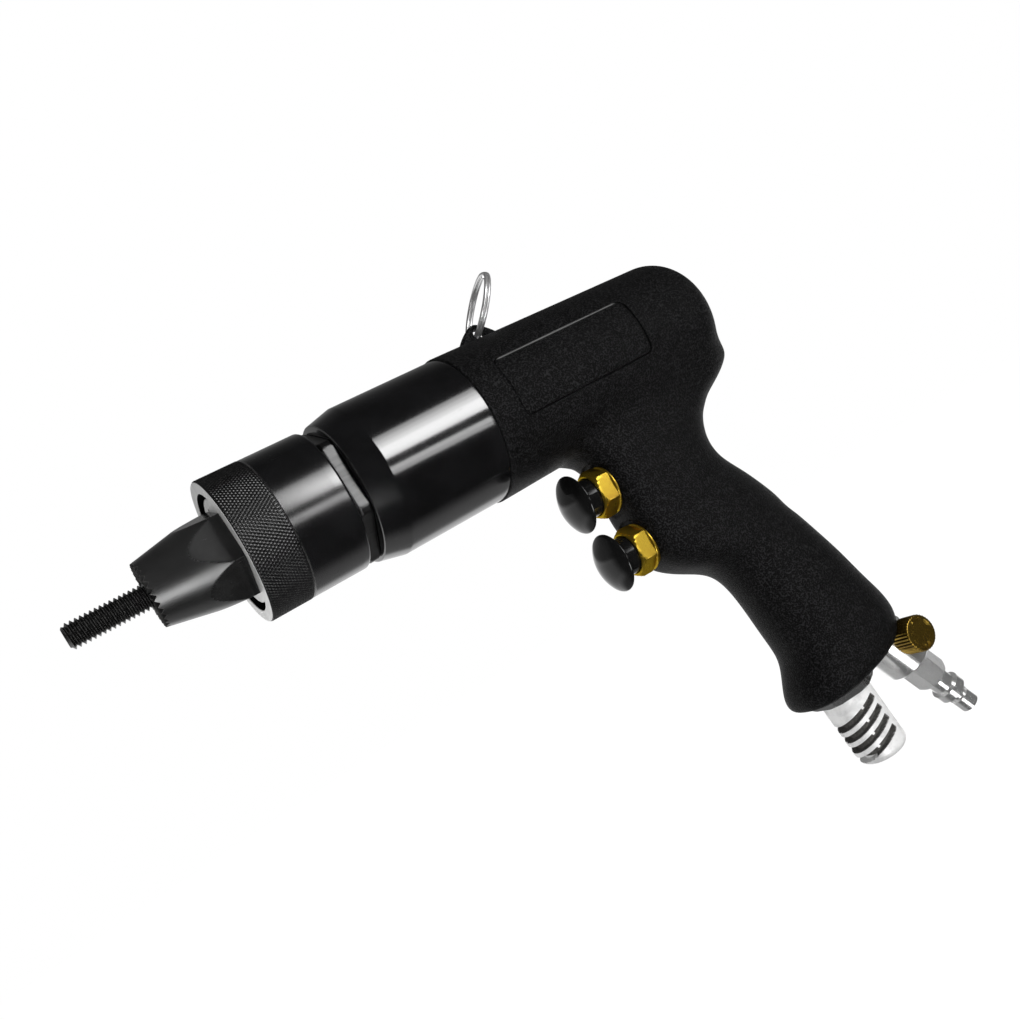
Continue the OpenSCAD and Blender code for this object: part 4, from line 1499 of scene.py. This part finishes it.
@dataclass
class Knob:
    """Fluted brass knob of the flow regulator, with a plain dial face."""

    centre: tuple[float, float] = (215.4, -144.8)
    back: float = 9.8
    face: float = 18.0
    flutes: int = 36
    flute: float = 0.32
    stem_r: float = 3.5
    stem_y: float = -7.4
    dial_depth: float = 0.28
    dots: tuple[float, float] = (1.75, 1.75 + math.pi)
    dots_at: float = 4.6
    dot_height: float = 0.34
    arcs: tuple[float, float] = (0.75, 0.75 + math.pi)
    arcs_at: float = 4.5
    arc_depth: float = 0.16

    def surface(self) -> Array:
        """Face, fluted rim and back.

        Rows run from the middle of the face outward and round to the stem. The rim's
        radius falls by a rounded wave; the face sinks inside its lip, rises in two round
        dots and is cut by two arcs.

        Returns:
            Grid of points with the knob's axis along -Y.
        """
        angle = even_turn(self.flutes * 8)
        wave = self.flute * (0.5 - 0.5 * np.cos(angle * self.flutes)) ** 0.7
        dial = np.concatenate([np.linspace(0.3, 5.25, 42), [5.4, 5.5, 5.6, 5.9, 6.2]])
        radius = dial[:, None] + 0 * angle
        u, w = radius * np.cos(angle), radius * np.sin(angle)
        sunk = self.dial_depth * (1 - step(5.28, 5.52, radius))
        for turn in self.dots:
            far = np.hypot(u - self.dots_at * math.cos(turn), w - self.dots_at * math.sin(turn))
            sunk = sunk - self.dot_height * (1 - step(0.35, 0.62, far))
        for turn in self.arcs:
            across = 1 - step(0.08, 0.22, np.abs(radius - self.arcs_at))
            along = 1 - step(0.55, 0.62, np.abs((angle - turn + np.pi) % FULL - np.pi))
            sunk = sunk + self.arc_depth * across * along
        face, back, stem = -self.face, -self.back, self.stem_r
        rim = [(6.45, face + 0.12, 0.4), (6.7, face + 0.4, 0.9), (6.8, face + 0.75, 1)]
        rim += [(6.8, back - 0.8, 1), (6.7, back - 0.3, 0.9), (6.3, back, 0.3)]
        rim += [(stem, back, 0), (stem, self.stem_y, 0)]
        rows = [np.stack([r - flute * wave, at + 0 * angle]) for r, at, flute in rim]
        both = np.concatenate([np.stack([radius, face + sunk], 1), np.array(rows)])
        grid = spun(both[:, 1], both[:, 0], angle)[..., [1, 0, 2]]
        return grid + np.array([self.centre[0], 0.0, self.centre[1]])

    def build(self) -> None:
        """Makes the knob."""
        skin = Skin().grid(self.surface(), ends=(True, True))
        piece = skin.build("fluted_knob", Finishes.KNOB, sharp=40.0)
        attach(piece, "knob")
        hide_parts("regulator_knob")


@dataclass
class Trigger:
    """Mushroom button and its brass nut on one of the two tilted valve axes."""

    name: str
    height: float
    root_x: float = 147.2
    tilt: float = 3.0
    cap_r: float = 10.8
    dome: float = 4.0
    skirt_r: float = 7.0
    flats: float = 16.0

    def button_outline(self) -> Array:
        """Outline of the button: a domed cap with a rolled edge, a hollow back and the skirt.

        Returns:
            Rows of the outline.
        """
        big = (self.cap_r**2 + self.dome**2) / (2 * self.dome)
        r = np.concatenate([np.linspace(0.25, 9.6, 22), [10.0, 10.3]])
        dome = np.stack([-13.8 - self.dome + big - np.sqrt(big**2 - r**2), r], -1)
        edge = [(-13.85, 10.6), (-13.6, 10.76), (-13.35, 10.8), (-13.1, 10.72), (-12.95, 10.45)]
        back = [(-12.75, 9.9), (-12.45, 8.9), (-12.1, 7.9), (-11.7, 7.25), (-11.3, 7.05)]
        skirt = [(-10.8, self.skirt_r), (-3.2, self.skirt_r), (-3.0, self.skirt_r - 0.2)]
        skirt += [(-3.0, 5.5), (5.0, 5.5), (5.0, 2.5), (32.0, 2.5)]
        return np.vstack([dome, edge, back, skirt])

    def nut_surface(self) -> Array:
        """Hexagon reach at each angle, held to a cone in front, over a round foot and shank.

        Returns:
            Closed grid along the nut's axis.
        """
        angle = even_turn(216)
        reach = hexagon(angle, self.flats)
        rows = []
        front = ((-6.8, 7.75), (-6.7, 7.95), (-6.3, 8.35), (-5.8, 8.85), (-5.2, 9.4))
        for x, cap in (*front, (-3.0, 11.0), (-1.3, 11.0), (-0.9, 9.1)):
            rows.append(np.stack([x + 0 * angle, np.minimum(reach - 0.08 * (x < -6.6), cap)]))
        foot = ((-0.8, 8.75), (-0.7, 8.95), (-0.6, 9.0), (-0.2, 9.0), (-0.05, 8.9), (0.0, 8.7), (0.0, 7.8))
        bore = ((14.0, 7.8), (14.0, 5.6), (1.2, 5.6), (1.2, 7.05), (-6.5, 7.05), (-6.8, 7.3))
        rows += rows_at(angle, *foot, *bore)
        grid = np.array(rows)
        return spun(grid[:, 0], grid[:, 1], angle)

    def build(self) -> None:
        """Makes the button and the nut."""
        origin = (self.root_x, 0.0, self.height)
        button = Skin().grid(lean(turned(self.button_outline(), 96), origin, self.tilt), ends=(True, True))
        piece = button.build(f"{self.name}_trigger_button", Finishes.BUTTON, sharp=40.0)
        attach(piece, f"{self.name}_trigger")
        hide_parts(f"{self.name}_button")
        nut = Skin().grid(lean(self.nut_surface(), origin, self.tilt), along=True)
        piece = nut.build(f"{self.name}_brass_nut", Finishes.BRASS, sharp=20.0)
        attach(piece, "tool_body")
        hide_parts(f"{self.name}_valve_nut")


@dataclass
class Silencer:
    """Cast exhaust silencer: a rounded cup with skewed slots and small cast tabs."""

    origin: Point = (185.3, 0.0, -142.0)
    lean: float = -3.2
    radius: float = 9.7
    top: float = -6.8
    bottom: float = -33.4
    round_r: float = 3.6
    slots: int = 4
    first: float = 13.7
    pitch: float = 4.45
    width: float = 2.3
    skew: float = 18.0
    web_turn: float = -27.0
    web_inner: float = 7.2
    depth: float = 2.6

    def slot_share(self, p: Array) -> Array:
        """How far a point of the wall lies inside a slot, 0..1.

        The point is turned back by the web's turn and each slot's skew, as the slots are
        cut; inside is where its height is within half the width and it lies short of the
        web. Small tabs are spared at the upper edges.

        Args:
            p: Points in millimetres, with x, y and z on the last axis.

        Returns:
            Share at each point.
        """
        back = rotated(p, 2, -self.web_turn)
        share = np.zeros(back.shape[:-1])
        for i in range(self.slots):
            local = rotated(back + [0, 0, self.first + i * self.pitch], 1, self.skew)
            along, y, up = np.moveaxis(local, -1, 0)
            tab = step(0.75, 0.55, np.abs(along - 1.2 + 1.1 * i)) * (y < 0) * step(0.35, 0.5, up)
            cut = step(-0.12, 0.12, self.width / 2 - np.abs(up)) * step(0.15, -0.15, along - self.web_inner)
            share = np.maximum(share, cut * (1.0 - tab))
        return share

    def surface(self) -> Array:
        """Spun outline with the slots sunk in: radius less the depth times the slot's share.

        Returns:
            Grid of the surface's points.
        """
        turn = np.linspace(0, np.pi / 2, 14)[1:]
        side = np.linspace(self.top - 0.1, self.bottom + self.round_r, 210)
        z = np.concatenate([[self.top + 3.0, self.top], side, side[-1] - self.round_r * np.sin(turn)])
        bend = self.radius - self.round_r + self.round_r * np.cos(turn)
        r = np.concatenate([[6.6, 9.55, self.radius - 0.05], np.full(209, self.radius), bend])
        angle = even_turn(300)
        wall = spun(z[:, None], r[:, None], angle)[..., [1, 2, 0]]
        wall[..., :2] *= (1.0 - self.depth * self.slot_share(wall) / r[:, None])[..., None]
        return wall

    def build(self) -> None:
        """Makes the silencer, with the floors of its slots in felt."""
        skin = Skin().grid(lean(self.surface(), self.origin, self.lean), ends=(True, True))
        piece = skin.build("slotted_silencer", Finishes.SILENCER, sharp=40.0)
        x, y, z = rotated(face_centres(piece) - np.array(self.origin), 1, -self.lean).T
        deep = (np.hypot(x, y) < self.radius - 0.3) & (z < self.top - 1) & (z > self.bottom + self.round_r)
        repaint(piece, deep, Finishes.FELT)
        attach(piece, "tool_body")
        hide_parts("silencer", "silencer_felt")


# Nodes of the frame that are kept


@dataclass
class KeptNodes:
    """Nodes of the frame that keep their solids and get a finish."""

    finishes: dict[Finishes, tuple[str, ...]] = field(
        default_factory=lambda: {
            Finishes.WIRE: ("carrier_snap_ring", "forward_spring", "reverse_spring"),
            Finishes.BRASS: ("forward_valve_bush", "reverse_valve_bush"),
            Finishes.RUBBER: ("forward_valve_washer", "reverse_valve_washer"),
            Finishes.BUSHING: ("exhaust_bushing",),
            Finishes.PLATED: ("inlet_stud", "regulator_body", "air_plug"),
            Finishes.GEAR: (
                "drive_spindle", "planet_carrier", "planet_gear_a", "planet_gear_b", "planet_gear_c",
                "ring_gear", "rotor",
            ),
            Finishes.BEARING: (
                "planet_pins", "front_rotor_bearing", "rear_rotor_bearing", "spindle_bearing",
                "thrust_race_front", "thrust_race_rear", "thrust_balls",
            ),
            Finishes.FIBRE: ("rotor_vanes",),
            Finishes.CAST: ("motor_cylinder", "front_end_plate", "rear_end_plate"),
        }
    )

    def dress(self, nodes: dict[str, Piece]) -> None:
        """Gives each node its finish, on all of its slots.

        Args:
            nodes: CAD nodes by name.
        """
        for finish, names in self.finishes.items():
            for name in names:
                finish.value.dress(nodes[name])
                LOG.info("%s: %s", name, finish.value.name)


# Stage


@dataclass
class Softbox:
    """A rectangular studio light."""

    name: str
    place: Point
    aim: Point
    size: tuple[float, float]
    radiance: tuple[float, ...]
    in_gloss: bool = True

    def build(self) -> None:
        """Hangs the light with its long side level, as one strip above the other.

        The strips make a soft edge: each has a radiance of its own, from the top down. An
        area light's power is radiance times pi times its area.
        """
        turn = (Vector(self.aim) - Vector(self.place)).to_track_quat("-Z", "Y")
        high = self.size[1] / len(self.radiance)
        for i, radiance in enumerate(self.radiance):
            light = bpy.data.lights.new(f"{self.name}_{i}", "AREA")
            light.shape = "RECTANGLE"
            light.size, light.size_y = self.size[0], high
            light.energy = radiance * math.pi * self.size[0] * high
            lamp = bpy.data.objects.new(f"{self.name}_{i}", light)
            up = self.size[1] / 2 - (i + 0.5) * high
            lamp.location = Vector(self.place) + turn @ Vector((0.0, up, 0.0))
            lamp.rotation_euler = turn.to_euler()
            lamp.visible_camera = False
            lamp.visible_glossy = self.in_gloss
            bpy.context.scene.collection.objects.link(lamp)


@dataclass
class Studio:
    """Pale floor, soft lights, surroundings and the camera at the photograph's angle."""

    floor_z: float = -0.187
    floor_r: float = 2.2
    floor_glow: float = 1.14
    floor_share: float = 0.85
    low_box_glow: float = 9.5
    front_glow: float = 0.022
    even_glow: float = 0.26
    focal_px: float = 918.0
    image_px: float = 1020.0
    centre_px: tuple[float, float] = (525.0, 555.0)
    eye: Point = (-0.02103, -0.27714, -0.05891)
    right: Point = (0.77583825, -0.33433608, -0.53506484)
    up: Point = (0.47090183, -0.25757163, 0.8437466)
    back: Point = (-0.41991246, -0.9065739, -0.04239446)

    def camera(self) -> None:
        """Sets the camera up from the solved axes and focal length."""
        data = bpy.data.cameras.new("photo_camera")
        data.sensor_width = 36.0
        data.lens = data.sensor_width * self.focal_px / self.image_px
        data.shift_x = (self.image_px / 2 - self.centre_px[0]) / self.image_px
        data.shift_y = (self.centre_px[1] - self.image_px / 2) / self.image_px
        data.clip_start, data.clip_end = 0.01, 10.0
        camera = bpy.data.objects.new("photo_camera", data)
        turn = Matrix((self.right, self.up, self.back)).transposed()
        camera.matrix_world = Matrix.Translation(self.eye) @ turn.to_4x4()
        bpy.context.scene.collection.objects.link(camera)
        bpy.context.scene.camera = camera

    def floor(self) -> None:
        """Lays a round pale floor that glows white to the camera and keeps the shadow."""
        mesh = bpy.data.meshes.new("floor")
        ring = even_turn(96)
        x, y = 0.1 + self.floor_r * np.cos(ring), self.floor_r * np.sin(ring)
        mesh.from_pydata(np.stack([x, y, np.full(96, self.floor_z)], -1).tolist(), [], [list(range(96))])
        floor = bpy.data.objects.new("floor", mesh)
        bpy.context.scene.collection.objects.link(floor)
        material = bpy.data.materials.new("pale_floor")
        material.use_nodes = True
        graph = Graph(material.node_tree)
        camera, mirror = self.rays(graph)
        diffuse = graph.node("ShaderNodeBsdfDiffuse", {}, {"Color": grey(0.9)})
        glow = graph.node("ShaderNodeEmission", {}, {"Color": grey(1.0), "Strength": self.floor_glow})
        seen = camera.math("MAXIMUM", mirror) * self.floor_share
        mixed = graph.node("ShaderNodeMixShader", {}, {0: seen, 1: diffuse.outputs[0], 2: glow.outputs[0]})
        graph.node("ShaderNodeOutputMaterial", {}, {"Surface": mixed.outputs[0]})
        mesh.materials.append(material)
        floor.visible_glossy = False

    def rays(self, graph: Graph) -> tuple[Value, Value]:
        """Masks of rays straight from the camera, and of rays mirrored or let through by a surface.

        Args:
            graph: Graph of the material or world.

        Returns:
            The two masks.
        """
        path = graph.node("ShaderNodeLightPath")
        camera, gloss, through = (
            Value(graph, path.outputs[f"Is {kind} Ray"]) for kind in ("Camera", "Glossy", "Transmission")
        )
        return camera, gloss.math("MAXIMUM", through)

    def surroundings(self) -> None:
        """What the tool's black steel mirrors.

        The camera sees plain white. Gloss sees a white band behind, grey above and below
        it, a soft box low on the left, and next to nothing in front. Scattered light is even.
        """
        world = bpy.data.worlds.new("studio")
        world.use_nodes = True
        world.cycles.sampling_method = "NONE"
        bpy.context.scene.world = world
        graph = Graph(world.node_tree)
        camera, gloss = self.rays(graph)
        x, y, z = graph.split(graph.node("ShaderNodeTexCoord").outputs["Generated"])
        band = z.ramp(-0.62, -0.40) * z.ramp(0.12, 0.24, 1.0, 0.0)
        above = z.ramp(0.05, 0.2) * z.ramp(0.45, 0.95, 1.0, 0.12)
        below = z.ramp(-0.5, -0.3, 1.0, 0.0)
        left = x.ramp(0.15, 0.45, 0.30, 0.15)
        behind = y.ramp(0.0, 0.45) * (band * 1.05 + above * left + below * 0.33)
        side = graph.math("ARCTAN2", x, 0.0 - y)
        low_box = side.ramp(-0.85, -0.60) * side.ramp(-0.36, -0.26, 1.0, 0.0)
        low_box = low_box * z.ramp(-0.80, -0.70) * z.ramp(-0.46, -0.36, 1.0, 0.0)
        mirrored = behind + low_box * self.low_box_glow + self.front_glow
        strength = camera + (1.0 - camera) * (gloss * mirrored + (1.0 - gloss) * self.even_glow)
        shade = graph.node("ShaderNodeBackground", {}, {"Color": grey(1.0), "Strength": strength})
        graph.node("ShaderNodeOutputWorld", {}, {"Surface": shade.outputs[0]})

    def build(self) -> None:
        """Makes the whole stage."""
        self.camera()
        self.floor()
        self.surroundings()
        key_strips, low_strips = (3.0, 5.0, 7.0, 9.4, 9.4, 8.2), (4.4, 3.2)
        barrel = (0.08, -0.026, 0.0)
        Softbox("key_light", (0.455, -0.780, 0.310), barrel, (0.43, 0.52), key_strips).build()
        Softbox("low_strip", (0.244, -0.431, -0.103), barrel, (0.24, 0.085), low_strips).build()
        sleeve, middle = (0.12, -0.02, -0.02), (0.12, 0.0, 0.0)
        Softbox("front_left", (-0.14, -0.34, -0.10), sleeve, (0.17, 0.13), (12.0,), False).build()
        Softbox("overhead", (0.15, 0.1, 0.9), middle, (0.7, 0.7), (0.7,), False).build()
        bpy.context.scene.view_settings.view_transform = "Standard"


def main() -> None:
    """Builds the stage, dresses the frame and makes the detailed pieces, in order."""
    logging.basicConfig(level=logging.INFO, format="%(message)s")
    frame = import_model()
    Studio().build()
    KeptNodes().dress(frame["nodes"])
    front = (Stud(), Nosepiece(), NoseCarrier(), Sleeve(), LockNut(), GearCase())
    handle = (Housing(), HangingRing(), Trigger("forward", -41.1), Trigger("reverse", -64.8))
    for assembly in (*front, *handle, Silencer(), Knob()):
        assembly.build()


if __name__ == "__main__":
    main()
